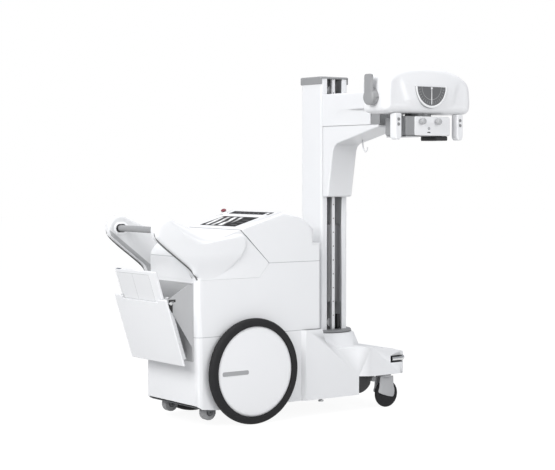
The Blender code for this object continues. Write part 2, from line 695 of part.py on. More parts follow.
def roller(name, side):
    y = side * ROLLER_Y
    pivot = empty(f"roller_{name}_pivot", (ROLLER_X, y, ROLLER_Z), MACHINE)
    half, ear = 0.021, 0.0282
    turned(f"rear_roller_{name}", [
        (0, ear), (0.005, ear), (0.005, half), (ROLLER_R - 0.004, half), (ROLLER_R, half - 0.005),
        (ROLLER_R, -half + 0.005), (ROLLER_R - 0.004, -half), (0.005, -half), (0.005, -ear), (0, -ear)],
        (ROLLER_X, y, ROLLER_Z), (0, 1, 0), "grey_rubber", pivot, steps=16)


def bumper():
    """A steel tube round the nose, on two plungers."""
    pivot = empty("bumper_pivot", (BASE_FRONT, 0, BUMPER_Z), MACHINE)
    tube_x, tube_y = BUMPER_FRONT - BUMPER_R, WING_HALF - BUMPER_R - 0.001
    bend = 0.055
    corner = arc((tube_x - bend, tube_y - bend), bend, 0, 90, 5)
    path = mirrored([*corner, (0.905, tube_y)])
    start = path.index((0.905, tube_y)) + 1
    path = path[start:] + path[:start]
    bar = pipe("bumper_bar", [(x, y, BUMPER_Z) for x, y in path], BUMPER_R, "bright_steel", pivot)
    for side in (-1, 1):
        y = side * 0.15
        join(bar, rod(f"plunger_{side}", (0.955, y, BUMPER_Z), (tube_x, y, BUMPER_Z), 0.008, sides=12))


def handle_bar():
    pivot = empty("handle_bar_pivot", (BAR_X, 0, BAR_Z), MACHINE)
    reach = ARM_IN + 0.0376
    rod("handle_bar", (BAR_X, -reach, BAR_Z), (BAR_X, reach, BAR_Z), BAR_R, "grey_plastic", pivot, sides=20)


# Detector bin
def bin_frame():
    """Turns bin coordinates (out from the machine, up along the panel) into machine coordinates."""
    turn = Matrix.Rotation(-BIN_LEAN, 4, "Y")
    return Matrix.Translation((HINGE_X, 0, HINGE_Z)) @ turn


def leaning_block(name, low, high, finish=None, pivot=MACHINE):
    """A block given in the bin's leaning frame: X out of the machine is negative."""
    made = block(name, low, high, finish, MACHINE)
    made.data.transform(bin_frame())
    made.data.transform(Matrix.Translation(-Vector(pivot["place"])))
    made.parent = pivot
    return made


BIN_IN, BIN_OUT = -0.012, -0.052      # inner and outer faces of the pocket, in the leaning frame
BIN_FLOOR = -0.010
STAY_HALF = 0.0018


def detector_bin():
    pivot = empty("bin_pivot", (HINGE_X, 0, HINGE_Z), MACHINE)
    pocket = leaning_block("detector_bin", (BIN_OUT, -BIN_HALF, BIN_FLOOR), (BIN_IN, BIN_HALF, BIN_H),
                           "white_cover", pivot)
    room = leaning_block("bin_room", (BIN_OUT + 0.004, -BIN_HALF + 0.008, BIN_FLOOR + 0.006),
                         (BIN_IN - 0.004, BIN_HALF - 0.008, BIN_H + 0.05), None, pivot)
    front = leaning_block("bin_front", (BIN_OUT - 0.008, -PANEL_HALF, BIN_FLOOR - 0.02),
                          (BIN_OUT + 0.002, PANEL_HALF, BIN_H + 0.004), None, pivot)
    bevel(front, 0.006, 1)
    cut(pocket, room)
    join(pocket, front)
    notch = leaning_block("bin_notch", (BIN_OUT - 0.02, -0.17, BIN_H - 0.016),
                          (BIN_IN + 0.02, 0.17, BIN_H + 0.05), None, pivot)
    cut(pocket, notch)
    for side in (-1, 1):
        knuckle = rod(f"bin_knuckle_{side}", (HINGE_X, side * 0.08, HINGE_Z), (HINGE_X, side * 0.14, HINGE_Z),
                      0.009, None, pivot, sides=16)
        web = leaning_block(f"bin_web_{side}", (BIN_IN - 0.002, side * 0.11 - 0.03, -0.007),
                            (0, side * 0.11 + 0.03, 0.007), None, pivot)
        bore = rod(f"bin_bore_{side}", (HINGE_X, side * 0.07, HINGE_Z), (HINGE_X, side * 0.15, HINGE_Z),
                   0.0046, None, pivot, sides=16)
        join(pocket, web, knuckle)
        cut(pocket, bore)
        place = bin_frame() @ Vector((STAY_PIN_IN, 0, STAY_PIN_UP))
        pin = rod(f"stay_pin_{side}", (place.x, side * (BIN_HALF - 0.006), place.z),
                  (place.x, side * (BIN_HALF + 0.012), place.z), 0.0045, None, pivot, sides=12)
        join(pocket, pin)


STAY_PIN_UP = 0.285     # up the bin from its hinge
STAY_PIN_IN = BIN_IN - 0.006
STAY_EDGE = 0.0092      # from the pin's axis to the stay's outer edge
BIN_CLOSE = 4.0


def bin_bracket():
    """Back plate with the hinge pin's lugs and a slotted stay at each side."""
    back = REAR_X - GAP
    plate_t = 0.006
    bracket = block("bin_bracket", (back - plate_t, -0.21, 0.335), (back, 0.21, 0.725), "white_cover")
    hinge = Vector((HINGE_X, HINGE_Z))
    pin_at = bin_frame() @ Vector((STAY_PIN_IN, 0, STAY_PIN_UP))
    reach = (Vector((pin_at.x, pin_at.z)) - hinge).length
    angle = math.degrees(math.atan2(pin_at.z - HINGE_Z, pin_at.x - HINGE_X))
    turn_in, slack, half = BIN_CLOSE, 1.0, 0.0052
    start, end = angle + slack, angle - turn_in - slack
    slot = arc(hinge, reach + half, start, end, 6) + arc(hinge, reach - half, end, start, 6)
    tip = [bin_frame() @ Vector((STAY_PIN_IN - STAY_EDGE, 0, STAY_PIN_UP + up)) for up in (0.020, -0.020)]
    outer = [(back - 0.003, 0.40), (back - 0.003, 0.715), (back - 0.03, 0.72)] + [(p.x, p.z) for p in tip]
    for side in (-1, 1):
        y = side * (BIN_HALF + RUN + STAY_HALF)
        stay = plate(f"stay_{side}", [outer, slot], "XZ", y - STAY_HALF, y + STAY_HALF)
        join(bracket, stay)
        for edge in (0.074, 0.146):
            lug = [(back - 0.002, HINGE_Z - 0.012)] + [(back - 0.002, HINGE_Z + 0.012)]
            lug += arc(hinge, 0.009, 90, 270, 5)
            join(bracket, plate(f"bin_lug_{side}_{edge}", [lug], "XZ", *sorted(
                (side * (edge - 0.0054), side * (edge + 0.0054)))))
        join(bracket, rod(f"hinge_pin_{side}", (HINGE_X, side * 0.070, HINGE_Z),
                          (HINGE_X, side * 0.150, HINGE_Z), 0.004, sides=16))
    return bracket


def detector():
    """The flat-panel detector, standing in the bin."""
    pivot = empty("detector_pivot", (HINGE_X, 0, HINGE_Z), MACHINE)
    face = BIN_OUT + 0.004 + RUN
    low = BIN_FLOOR + 0.006 + GAP
    panel = leaning_block("detector_panel", (face, -DETECTOR_W / 2, low),
                          (face + DETECTOR_T, DETECTOR_W / 2, low + DETECTOR_H), "white_cover", pivot)
    bevel(panel, 0.003, 2)


# Column
def column():
    spin = empty("column_pivot", (COLUMN_X, 0, PEDESTAL_Z), MACHINE)
    cx, h, w, s = COLUMN_X, COLUMN_HALF, COLUMN_WALL, SLOT_HALF
    outline = [(cx + s, -h)] + arc((cx + h - 0.012, -h + 0.012), 0.012, 270, 360, 3)
    outline += arc((cx + h - 0.012, h - 0.012), 0.012, 0, 90, 3)
    outline += arc((cx - h + 0.012, h - 0.012), 0.012, 90, 180, 3)
    outline += arc((cx - h + 0.012, -h + 0.012), 0.012, 180, 270, 3) + [(cx - s, -h)]
    i = h - w
    outline += [(cx - s, -i), (cx - i, -i), (cx - i, i), (cx + i, i), (cx + i, -i), (cx + s, -i)]
    plate("column_profile", [outline], "XY", COLUMN_BOTTOM, COLUMN_TOP, "white_cover", spin)
    turned("turntable", [(0, COLUMN_BOTTOM - GAP), (TURNTABLE_R - 0.004, COLUMN_BOTTOM - GAP),
                         (TURNTABLE_R, COLUMN_BOTTOM - 0.005), (TURNTABLE_R, PEDESTAL_Z + RUN),
                         (SPIGOT_R, PEDESTAL_Z + RUN), (SPIGOT_R, 0.345), (0, 0.345)],
           (cx, 0, 0), (0, 0, 1), "grey_plastic", spin, steps=32)
    cap_out = h + 0.005
    cap = bevel(block("column_cap", (cx - cap_out, -h - 0.002, COLUMN_TOP - 0.030),
                      (cx + cap_out, cap_out, COLUMN_TOP + 0.012), "grey_plastic", spin), 0.006, 2)
    inner = h + 0.0004
    cut(cap, block("cap_room", (cx - inner, -inner - 0.05, COLUMN_TOP - 0.05),
                   (cx + inner, inner, COLUMN_TOP + GAP), None, spin))
    rail = block("guide_rail", (cx - RAIL_HALF, -0.080, COLUMN_BOTTOM + GAP),
                 (cx + RAIL_HALF, -0.066, COLUMN_TOP), "bright_steel", spin)
    for k in range(9):
        z = COLUMN_BOTTOM + 0.075 + 0.15 * k
        cut(rail, rod(f"rail_hole_{k}", (cx, -0.09, z), (cx, -0.072, z), 0.0035, None, spin, sides=8))
    belt(spin)
    for name, z in (("low", PULLEY_LOW), ("high", PULLEY_HIGH)):
        turn = empty(f"pulley_{name}_pivot", (cx, BELT_Y, z), spin)
        turned(f"pulley_{name}", [
            (0, 0.0085), (PULLEY_R + 0.002, 0.0085), (PULLEY_R + 0.002, 0.0066), (PULLEY_R, 0.0066),
            (PULLEY_R, -0.0066), (PULLEY_R + 0.002, -0.0066), (PULLEY_R + 0.002, -0.0085),
            (0.006, -0.0085), (0.006, -0.1318), (0, -0.1318)],
            (cx, BELT_Y, z), (0, -1, 0), "bright_steel", turn, steps=16)
    return spin


BELT_Y = -0.050
BELT_HALF = 0.006


def belt(spin):
    """One closed loop round both pulleys, 0.3 mm clear of them."""
    def loop(radius):
        return [(x, z) for x, z in arc((COLUMN_X, PULLEY_HIGH), radius, 0, 180, 10)
                + arc((COLUMN_X, PULLEY_LOW), radius, 180, 360, 10)]
    inner = PULLEY_R + GAP
    plate("lift_belt", [loop(inner + BELT_T), loop(inner)], "XZ", BELT_Y - BELT_HALF, BELT_Y + BELT_HALF,
          "black_rubber", spin)


SPAN = PULLEY_R + 2 * GAP + BELT_T    # from the pulleys' axis to a clamp beside a span of the belt
WEIGHT_LOW, WEIGHT_HIGH = 0.57, 0.99
CARRIAGE_LOW, CARRIAGE_HIGH = ARM_SEAM - 0.32, ARM_SEAM + 0.10


def counterweight(spin):
    pivot = empty("counterweight_pivot", (COLUMN_X, 0, WEIGHT_LOW), spin)
    side = COLUMN_HALF - COLUMN_WALL - RUN
    weight = block("counterweight", (COLUMN_X - side, -0.030, WEIGHT_LOW), (COLUMN_X + side, side, WEIGHT_HIGH),
                   "lead", pivot)
    clamp = block("weight_clamp", (COLUMN_X - 0.042, BELT_Y - BELT_HALF, WEIGHT_HIGH - 0.06),
                  (COLUMN_X - SPAN, -0.02, WEIGHT_HIGH - 0.02), None, pivot)
    join(weight, clamp)


def carriage(spin):
    """The block that rides on the rail, and the arm bolted to it."""
    slide = empty("carriage_pivot", (COLUMN_X, 0, ARM_SEAM), spin)
    cx = COLUMN_X
    reach = SLOT_HALF - 0.0015
    ride = block("carriage_block", (cx - reach, -COLUMN_HALF - 0.0012, CARRIAGE_LOW),
                 (cx + reach, -0.0595, CARRIAGE_HIGH), "aluminium", slide)
    groove = block("rail_groove", (cx - RAIL_HALF - RUN, -0.0806, CARRIAGE_LOW - 0.01),
                   (cx + RAIL_HALF + RUN, -0.05, CARRIAGE_HIGH + 0.01), None, slide)
    clamp = block("carriage_clamp", (cx + SPAN, -0.065, ARM_SEAM - 0.02),
                  (cx + 0.042, BELT_Y + BELT_HALF, ARM_SEAM + 0.02), None, slide)
    cut(ride, groove)
    join(ride, clamp)
    arm(slide)
    return slide


def arm(slide):
    cx = COLUMN_X
    seam = ARM_SEAM
    near = -COLUMN_HALF - 0.0015
    foot = [
        (near, BRACKET_FOOT), (near - 0.040, BRACKET_FOOT), (near - 0.046, BRACKET_FOOT + 0.008),
        (-0.176, seam - 0.135), (-0.186, seam - 0.112), (-0.206, seam - 0.096), (-0.300, seam - 0.074),
        (-0.480, seam - 0.032), (-ARM_END + 0.01, seam - 0.015), (-ARM_END + 0.01, seam), (near, seam),
    ]
    bracket = plate("arm_bracket", [foot], "YZ", cx - ARM_HALF + 0.002, cx + ARM_HALF - 0.002,
                    "white_cover", slide)
    bevel(bracket, 0.008, 2, 40)
    low = ARM_SEAM + GAP
    cover = block("arm_cover", (cx - ARM_HALF, -0.490, low), (cx + ARM_HALF, near, ARM_TOP),
                  "white_cover", slide)
    flare = plate("arm_flare", [mirrored_about(cx, [
        (cx + ARM_HALF - 0.004, -0.20), (cx + 0.105, -0.40), (cx + 0.118, -0.50),
        (cx + 0.118, -ARM_END + 0.004)])],
        "XY", ARM_TOP - 0.090, ARM_TOP - 0.001, None, slide)
    bevel(flare, 0.008, 2, 50)
    join(cover, flare)
    room = block("arm_room", (cx - ARM_HALF + WALL, -0.57, low - 0.01),
                 (cx + ARM_HALF - WALL, near + 0.03, ARM_TOP - WALL), None, slide)
    cut(cover, room)
    housing = block("roll_housing", (cx - ARM_HALF + WALL + GAP, -ARM_END, low),
                    (cx + ARM_HALF - WALL - GAP, -0.43, ARM_TOP - WALL - GAP), "aluminium", slide)
    bore = rod("roll_bore", (cx, -0.58, ROLL_Z), (cx, -0.445, ROLL_Z), 0.026 + RUN, None, slide, sides=28)
    cut(housing, bore)
    hook = pipe("cable_hook", [
        (cx + 0.02, -0.2995, seam - 0.064), (cx + 0.02, -0.305, seam - 0.110),
        (cx + 0.02, -0.312, seam - 0.130), (cx + 0.02, -0.326, seam - 0.138),
        (cx + 0.02, -0.338, seam - 0.130), (cx + 0.02, -0.342, seam - 0.115)],
        0.004, None, slide)
    join(bracket, hook)


def mirrored_about(cx, half):
    return half + [(2 * cx - x, y) for x, y in reversed(half)]


# Head
def neck(slide):
    cx = COLUMN_X
    roll = empty("roll_pivot", (cx, -ARM_END, ROLL_Z), slide)
    face = -ARM_END - RUN
    body = turned("neck", [
        (0, 0.112), (0.026, 0.112), (0.026, 0), (FLANGE_R - 0.003, 0), (FLANGE_R, -0.003),
        (FLANGE_R, -0.014), (FLANGE_R - 0.006, -0.018), (0, -0.018)],
        (cx, face, ROLL_Z), (0, 1, 0), "grey_plastic", roll, steps=28)
    knuckle = rod("neck_knuckle", (cx - 0.044, TILT_Y, TILT_Z), (cx + 0.044, TILT_Y, TILT_Z), 0.026, None, roll)
    web = block("neck_web", (cx - 0.035, TILT_Y + 0.009, ROLL_Z - 0.026),
                (cx + 0.035, face - 0.012, TILT_Z + 0.018), None, roll)
    join(body, web, knuckle)
    pin = [(cx - 0.0755, TILT_Y, TILT_Z), (cx + 0.0755, TILT_Y, TILT_Z)]
    join(body, rod("tilt_pin", *pin, 0.010, None, roll, sides=20))
    return roll


def head_outline():
    """The head seen from its front: flat below, a long crown above, full ends."""
    cx, h = COLUMN_X, HEAD_HALF
    right = [
        (cx + h - 0.035, HEAD_LOW), (cx + h - 0.012, HEAD_LOW + 0.010), (cx + h - 0.003, HEAD_LOW + 0.045),
        (cx + h, HEAD_LOW + 0.095), (cx + h - 0.008, HEAD_LOW + 0.140), (cx + h - 0.040, HEAD_LOW + 0.178),
        (cx + h - 0.100, HEAD_LOW + 0.207), (cx + 0.09, HEAD_TOP - 0.008), (cx, HEAD_TOP),
    ]
    left = [(cx - 0.09, HEAD_TOP - 0.006), (cx - h + 0.090, HEAD_LOW + 0.215), (cx - h + 0.028, HEAD_LOW + 0.195),
            (cx - h + 0.006, HEAD_LOW + 0.165), (cx - h, HEAD_LOW + 0.12), (cx - h, HEAD_LOW + 0.035),
            (cx - h + 0.012, HEAD_LOW + 0.008), (cx - h + 0.035, HEAD_LOW)]
    return right + left


def head(roll):
    cx = COLUMN_X
    tilt = empty("tilt_pivot", (cx, TILT_Y, TILT_Z), roll)
    shell_ = plate("head_shell", [head_outline()], "XZ", HEAD_FRONT, HEAD_BACK, "white_cover", tilt)
    bevel(shell_, 0.022, 3, 60)
    room = block("head_room", (cx - 0.23, HEAD_FRONT + 0.012, HEAD_LOW + 0.008),
                 (cx + 0.23, HEAD_BACK - 0.012, HEAD_LOW + 0.175), None, tilt)
    port = rod("beam_port", (cx, HEAD_MID, HEAD_LOW - 0.01), (cx, HEAD_MID, HEAD_LOW + 0.02), 0.040, None, tilt)
    cut(shell_, room, port)
    for side in (-1, 1):
        x = sorted((cx + side * 0.0446, cx + side * 0.0746))
        ear = rod(f"head_ear_{side}", (x[0], TILT_Y, TILT_Z), (x[1], TILT_Y, TILT_Z), 0.026, None, tilt)
        web = block(f"head_ear_web_{side}", (x[0] + 0.002, HEAD_BACK - 0.006, TILT_Z - 0.023),
                    (x[1] - 0.002, TILT_Y, TILT_Z + 0.023), None, tilt)
        join(shell_, web, ear)
    cut(shell_, rod("ear_bore", (cx - 0.09, TILT_Y, TILT_Z), (cx + 0.09, TILT_Y, TILT_Z), 0.0106, None,
                    tilt, sides=20))
    tube_z = HEAD_LOW + 0.008 + GAP + 0.076
    tube = rod("tube_insert", (cx - 0.20, HEAD_MID, tube_z), (cx + 0.20, HEAD_MID, tube_z), 0.076,
               "aluminium", tilt, sides=24)
    bevel(tube, 0.006, 1)
    dial(tilt)
    lock_lever(tilt)
    for name, side in (("right", 1), ("left", -1)):
        grip(name, side, tilt)
    collimator(tilt)


def dial(tilt):
    """Half-round angle scale with a hanging needle; the hub's pin lies on the scale's centre."""
    cx = COLUMN_X
    face = HEAD_FRONT - GAP
    scale = arc((cx, DIAL_Z), DIAL_R, 180, 360, 20)
    dial_plate = plate("dial_plate", [scale], "XZ", face - 0.002, face, "dark_plastic", tilt)
    rim_out = arc((cx, DIAL_Z), DIAL_R + 0.011, 180, 360, 20)
    rim_in = arc((cx, DIAL_Z), DIAL_R - 0.001, 360, 180, 20)
    join(dial_plate, plate("dial_rim", [rim_out + rim_in], "XZ", face - 0.0045, face, None, tilt))
    swing = empty("needle_pivot", (cx, face, DIAL_Z - 0.007), tilt)
    low, high = face - 0.0040, face - 0.002 - GAP
    needle = plate("dial_needle", [[(cx - 0.0015, DIAL_Z - 0.007), (cx - 0.0025, DIAL_Z - 0.087),
                                    (cx + 0.0025, DIAL_Z - 0.087), (cx + 0.0015, DIAL_Z - 0.007)]],
                   "XZ", low, high, "white_cover", swing)
    join(needle, rod("needle_hub", (cx, high, DIAL_Z - 0.007), (cx, low, DIAL_Z - 0.007), 0.0055, None,
                     swing, sides=16))


def lock_lever(tilt):
    """Brake lever on the head's end: a round hub and a flat paddle."""
    x = COLUMN_X - HEAD_HALF
    y, z = HEAD_MID, HEAD_LOW + 0.078
    pivot = empty("lever_pivot", (x, y, z), tilt)
    hub = turned("lock_lever", [
        (0, 0.038), (0.034, 0.038), (0.040, 0.032), (0.040, RUN), (0, RUN)],
        (x, y, z), (-1, 0, 0), "grey_plastic", pivot, steps=32)
    paddle = rounded_box((y - 0.027, z - 0.01), (y + 0.027, z + 0.112), 0.012, 3)
    join(hub, plate("lever_paddle", [paddle], "YZ", x - 0.037, x - 0.024, None, pivot))


def grip(name, side, tilt):
    """One positioning grip under the head, with two release buttons in its face."""
    cx = COLUMN_X + side * GRIP_X
    front, back = HEAD_FRONT + 0.010, HEAD_FRONT + 0.052
    half = 0.0205
    piece = plate(f"grip_{name}", [[
        (cx - half, HEAD_LOW - GAP), (cx - half, HEAD_LOW - 0.115), (cx - half + 0.010, HEAD_LOW - 0.130),
        (cx + half - 0.010, HEAD_LOW - 0.130), (cx + half, HEAD_LOW - 0.115), (cx + half, HEAD_LOW - GAP)]],
        "XZ", front, back, "white_cover", tilt)
    bevel(piece, 0.005, 2, 40)
    for number, drop in ((1, 0.030), (2, 0.055)):
        z = HEAD_LOW - drop
        pocket = rod(f"button_pocket_{name}_{number}", (cx, front - 0.01, z), (cx, front + 0.006, z),
                     0.0075 + RUN, None, tilt, sides=20)
        cut(piece, pocket)
        press = empty(f"button_{name}_{number}_pivot", (cx, front, z), tilt)
        rod(f"grip_button_{name}_{number}", (cx, front + 0.003, z), (cx, front - 0.0025, z), 0.0075,
            "grey_plastic", press, sides=20)


# Collimator
def collimator(tilt):
    cx = COLUMN_X
    turn = empty("collimator_pivot", (cx, HEAD_MID, HEAD_LOW), tilt)
    top = HEAD_LOW - RUN - 0.012
    housing = block("collimator_housing", (cx - COLLIMATOR_HALF, COLLIMATOR_FRONT, COLLIMATOR_LOW),
                    (cx + COLLIMATOR_HALF, COLLIMATOR_BACK, top), "white_cover", turn)
    bevel(housing, 0.010, 2)
    collar = rod("collimator_collar", (cx, HEAD_MID, top - 0.002), (cx, HEAD_MID, HEAD_LOW - RUN), 0.066,
                 None, turn)
    room = block("collimator_room", (cx - 0.13, COLLIMATOR_FRONT + 0.008, COLLIMATOR_LOW + 0.006),
                 (cx + 0.13, COLLIMATOR_BACK - 0.008, top - 0.006), None, turn)
    port = rod("collimator_port", (cx, HEAD_MID, top - 0.02), (cx, HEAD_MID, HEAD_LOW + 0.01), 0.036,
               None, turn)
    window = block("collimator_mouth", (cx - 0.055, HEAD_MID - 0.055, COLLIMATOR_LOW - 0.01),
                   (cx + 0.055, HEAD_MID + 0.055, COLLIMATOR_LOW + 0.02), None, turn)
    join(housing, collar)
    cut(housing, room, port, window)
    laser = block("laser_module", (cx + 0.062, COLLIMATOR_FRONT + 0.012, COLLIMATOR_LOW - 0.022),
                  (cx + 0.142, COLLIMATOR_BACK - 0.03, COLLIMATOR_LOW - GAP), "dark_plastic", turn)
    bevel(laser, 0.004, 1)
    shutters(housing, turn)
    for name, side in (("left", -1), ("right", 1)):
        field_knob(name, side, turn)
    z = COLLIMATOR_LOW + 0.037
    press = empty("lamp_button_pivot", (cx, COLLIMATOR_FRONT, z), turn)
    rod("lamp_button", (cx, COLLIMATOR_FRONT + 0.0035, z), (cx, COLLIMATOR_FRONT - 0.004, z), 0.008,
        "grey_plastic", press, sides=20)
    cut(housing, rod("lamp_pocket", (cx, COLLIMATOR_FRONT + 0.006, z), (cx, COLLIMATOR_FRONT - 0.01, z),
                     0.008 + RUN, None, turn, sides=20))


SHUTTER_OPEN = 0.034    # from the beam's axis to a blade's edge at rest
BLADE_T = 0.004


def shutters(housing, turn):
    """A shelf with a square hole, two blades that close across and two that close fore and aft."""
    cx, cy = COLUMN_X, HEAD_MID
    shelf_z = COLLIMATOR_LOW + 0.029
    join(housing, block("shutter_shelf", (cx - 0.132, COLLIMATOR_FRONT + 0.006, shelf_z - 0.004),
                        (cx + 0.132, COLLIMATOR_BACK - 0.006, shelf_z), None, turn))
    cut(housing, block("shelf_hole", (cx - 0.045, cy - 0.045, shelf_z - 0.010),
                       (cx + 0.045, cy + 0.045, shelf_z + 0.010), None, turn))
    low = shelf_z + GAP
    for name, side in (("a", -1), ("b", 1)):
        slide = empty(f"shutter_x_{name}_pivot", (cx, cy, low), turn)
        x = sorted((cx + side * SHUTTER_OPEN, cx + side * (SHUTTER_OPEN + 0.055)))
        block(f"shutter_x_{name}", (x[0], cy - 0.052, low), (x[1], cy + 0.052, low + BLADE_T), "lead", slide)
    low += BLADE_T + GAP
    for name, side in (("a", -1), ("b", 1)):
        slide = empty(f"shutter_y_{name}_pivot", (cx, cy, low), turn)
        y = sorted((cy + side * SHUTTER_OPEN, cy + side * (SHUTTER_OPEN + 0.034)))
        block(f"shutter_y_{name}", (cx - 0.070, y[0], low), (cx + 0.070, y[1], low + BLADE_T), "lead", slide)


def field_knob(name, side, turn):
    """A fluted knob on the collimator's face that drives one pair of blades."""
    x, z = COLUMN_X + side * 0.052, COLLIMATOR_LOW + 0.072
    spin = empty(f"field_knob_{name}_pivot", (x, COLLIMATOR_FRONT, z), turn)
    flutes = 8
    outline = []
    for i in range(flutes * 3):
        radius = 0.0150 if i % 3 == 1 else 0.0170
        angle = 2 * math.pi * i / (flutes * 3)
        outline.append((x + radius * math.cos(angle), z + radius * math.sin(angle)))
    tip = COLLIMATOR_FRONT - RUN - KNOB_LENGTH
    plate(f"field_knob_{name}", [outline], "XZ", tip, COLLIMATOR_FRONT - RUN, "grey_plastic", spin)


base_frame()
base_cover()
cabinet_cover()
handle_cover()
console_cover()
console_parts()
emergency_stop()
equipment()
both(rear_wheel)
drive_axle()
both(caster)
both(roller)
bumper()
handle_bar()
bin_bracket()
detector_bin()
detector()
column_spin = column()
counterweight(column_spin)
carriage_slide = carriage(column_spin)
head(neck(carriage_slide))
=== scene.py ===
# %% [markdown]
# # Dressing a mobile X-ray unit
#
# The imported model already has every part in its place: cabinet, column, arm, head, wheels.
# This lesson gives it the surfaces of the real machine. Most covers are moulded plastic with
# soft corners, so they keep the model's shape and only need smooth shading and a good finish.
# The forms that are rounded all over, such as the head, the handle arms and the tyres, are
# worked out again as smooth surfaces with numpy.

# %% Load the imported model
import json
import math

import bpy
import numpy as np
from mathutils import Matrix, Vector


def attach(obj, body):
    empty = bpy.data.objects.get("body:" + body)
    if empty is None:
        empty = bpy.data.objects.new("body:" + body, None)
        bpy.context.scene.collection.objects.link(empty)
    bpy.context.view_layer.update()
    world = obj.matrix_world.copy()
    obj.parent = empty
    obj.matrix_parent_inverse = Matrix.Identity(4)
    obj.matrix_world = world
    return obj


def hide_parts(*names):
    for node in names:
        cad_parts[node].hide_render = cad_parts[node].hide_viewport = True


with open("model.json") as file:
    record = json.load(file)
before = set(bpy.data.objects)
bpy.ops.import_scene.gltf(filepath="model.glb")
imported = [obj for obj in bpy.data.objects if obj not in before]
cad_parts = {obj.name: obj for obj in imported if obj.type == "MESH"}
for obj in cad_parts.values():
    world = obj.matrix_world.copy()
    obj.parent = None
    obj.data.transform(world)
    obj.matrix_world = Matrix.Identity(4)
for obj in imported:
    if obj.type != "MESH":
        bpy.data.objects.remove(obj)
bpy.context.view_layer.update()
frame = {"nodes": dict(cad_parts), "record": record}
body_of_node = {n: body for body, group in frame["record"]["behaviour"]["bodies"].items() for n in group}

# %% [markdown]
# ## One way to say where things are
#
# The machine was drawn with X forward from the rear axle, Y to the left and Z up from the floor.
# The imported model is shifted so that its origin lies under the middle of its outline. `place`
# turns drawing coordinates into the model's, for one point or a whole array of them.

# %% Places
SHIFT = np.array([0.233, -0.2853, 0.0])
COLUMN_X = 0.668
HEAD_FRONT, HEAD_BACK = -0.860, -0.660
DIAL_Z = 1.698
TILT_Z = 1.750
COLLIMATOR_LOW = 1.455
BUMPER_Z = 0.266
HINGE_X, HINGE_Z = -0.352, 0.365
BIN_LEAN = math.radians(17.5)


def place(points):
    """Drawing coordinates to the model's."""
    return np.asarray(points, float) - SHIFT


# %% [markdown]
# ## Surfaces from numpy
#
# A surface is a grid of points: rows along one parameter, columns along the other. Quads join
# each point to its neighbours, and a row of quads closes the seam where the grid wraps round.
# Ends that stay open are closed with one face each, so every piece is a solid.


# %% From a grid of points to a mesh
SHARP_ANGLE = math.radians(40)


def mesh_piece(name, points, faces, body, finish, replaces=()):
    """Makes one piece that rides on a body, with its place in its mesh."""
    mesh = bpy.data.meshes.new(name)
    mesh.from_pydata(np.asarray(points, float).tolist(), [], faces)
    mesh.validate()
    mesh.update()
    mesh.shade_smooth()
    mesh.set_sharp_from_angle(angle=SHARP_ANGLE)
    piece = bpy.data.objects.new(name, mesh)
    bpy.context.scene.collection.objects.link(piece)
    mesh.materials.append(finish)
    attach(piece, body)
    if replaces:
        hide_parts(*replaces)
    return piece


def grid_faces(rows, columns, wrap):
    """Quads between rows and columns; with wrap, the last column joins the first."""
    r = np.arange(rows - 1)[:, None]
    c = np.arange(columns if wrap else columns - 1)[None, :]
    right = (c + 1) % columns
    here, above = r * columns, (r + 1) * columns
    quads = np.stack([here + c, here + right, above + right, above + c], -1)
    return quads.reshape(-1, 4).tolist()


def closed_tube(name, rings, body, finish, replaces=()):
    """Joins rings of points, each wrapping round, and closes the first and the last with a face."""
    rows, columns = rings.shape[:2]
    faces = grid_faces(rows, columns, True)
    faces.append(list(range(columns))[::-1])
    faces.append(list(range((rows - 1) * columns, rows * columns)))
    return mesh_piece(name, outward(rings.reshape(-1, 3), faces), faces, body, finish, replaces)


def outward(points, faces):
    """Turns every face round if the solid's signed volume is negative. The volume is the sum of
    origin-to-triangle tetrahedra, one sixth of a dot (b cross c) each."""
    a, b, c, d = points[np.array(faces[:-2]).T]
    total = np.sum(a * (np.cross(b, c) + np.cross(c, d)))
    for cap in faces[-2:]:
        ring = points[cap]
        total += np.sum(np.cross(ring[1:-1] - ring[0], ring[2:] - ring[0]) @ ring[0])
    if total < 0:
        for face in faces:
            face.reverse()
    return points


# %% Turned and swept shapes
def across(axis):
    """Two unit vectors at right angles to an axis."""
    axis = np.asarray(axis, float) / np.linalg.norm(axis)
    helper = np.array([0.0, 0.0, 1.0]) if abs(axis[2]) < 0.9 else np.array([1.0, 0.0, 0.0])
    first = np.cross(helper, axis)
    first /= np.linalg.norm(first)
    return axis, first, np.cross(axis, first)


def revolve(name, profile, centre, axis, body, finish, replaces=(), steps=96, ring=False):
    """Point = centre + radius (cos t, sin t) across the axis + height along it, for each profile
    pair (radius, height) and each angle t. With ring, the profile closes on itself."""
    axis, first, second = across(axis)
    profile = np.asarray(profile, float)
    if ring:
        profile = np.vstack([profile, profile[:1]])
    turn = np.linspace(0, 2 * np.pi, steps, endpoint=False)
    spokes = np.cos(turn)[:, None] * first + np.sin(turn)[:, None] * second
    rings = place(centre) + profile[:, 0, None, None] * spokes + profile[:, 1, None, None] * axis
    if not ring:
        return closed_tube(name, rings, body, finish, replaces)
    rings = rings[:-1]
    rows = len(rings)
    faces = grid_faces(rows, steps, True)
    last = np.arange(steps)
    beyond = (last + 1) % steps
    foot = (rows - 1) * steps
    faces += np.stack([foot + last, foot + beyond, beyond, last], -1).tolist()
    points = rings.reshape(-1, 3)
    middle = place(centre)
    outer = int(np.argmax(profile[:-1, 0]))
    corner = points[[outer * steps, outer * steps + 1, ((outer + 1) % rows) * steps]]
    if np.cross(corner[1] - corner[0], corner[2] - corner[0]) @ (corner[0] - middle) < 0:
        for face in faces:
            face.reverse()
    return mesh_piece(name, points, faces, body, finish, replaces)


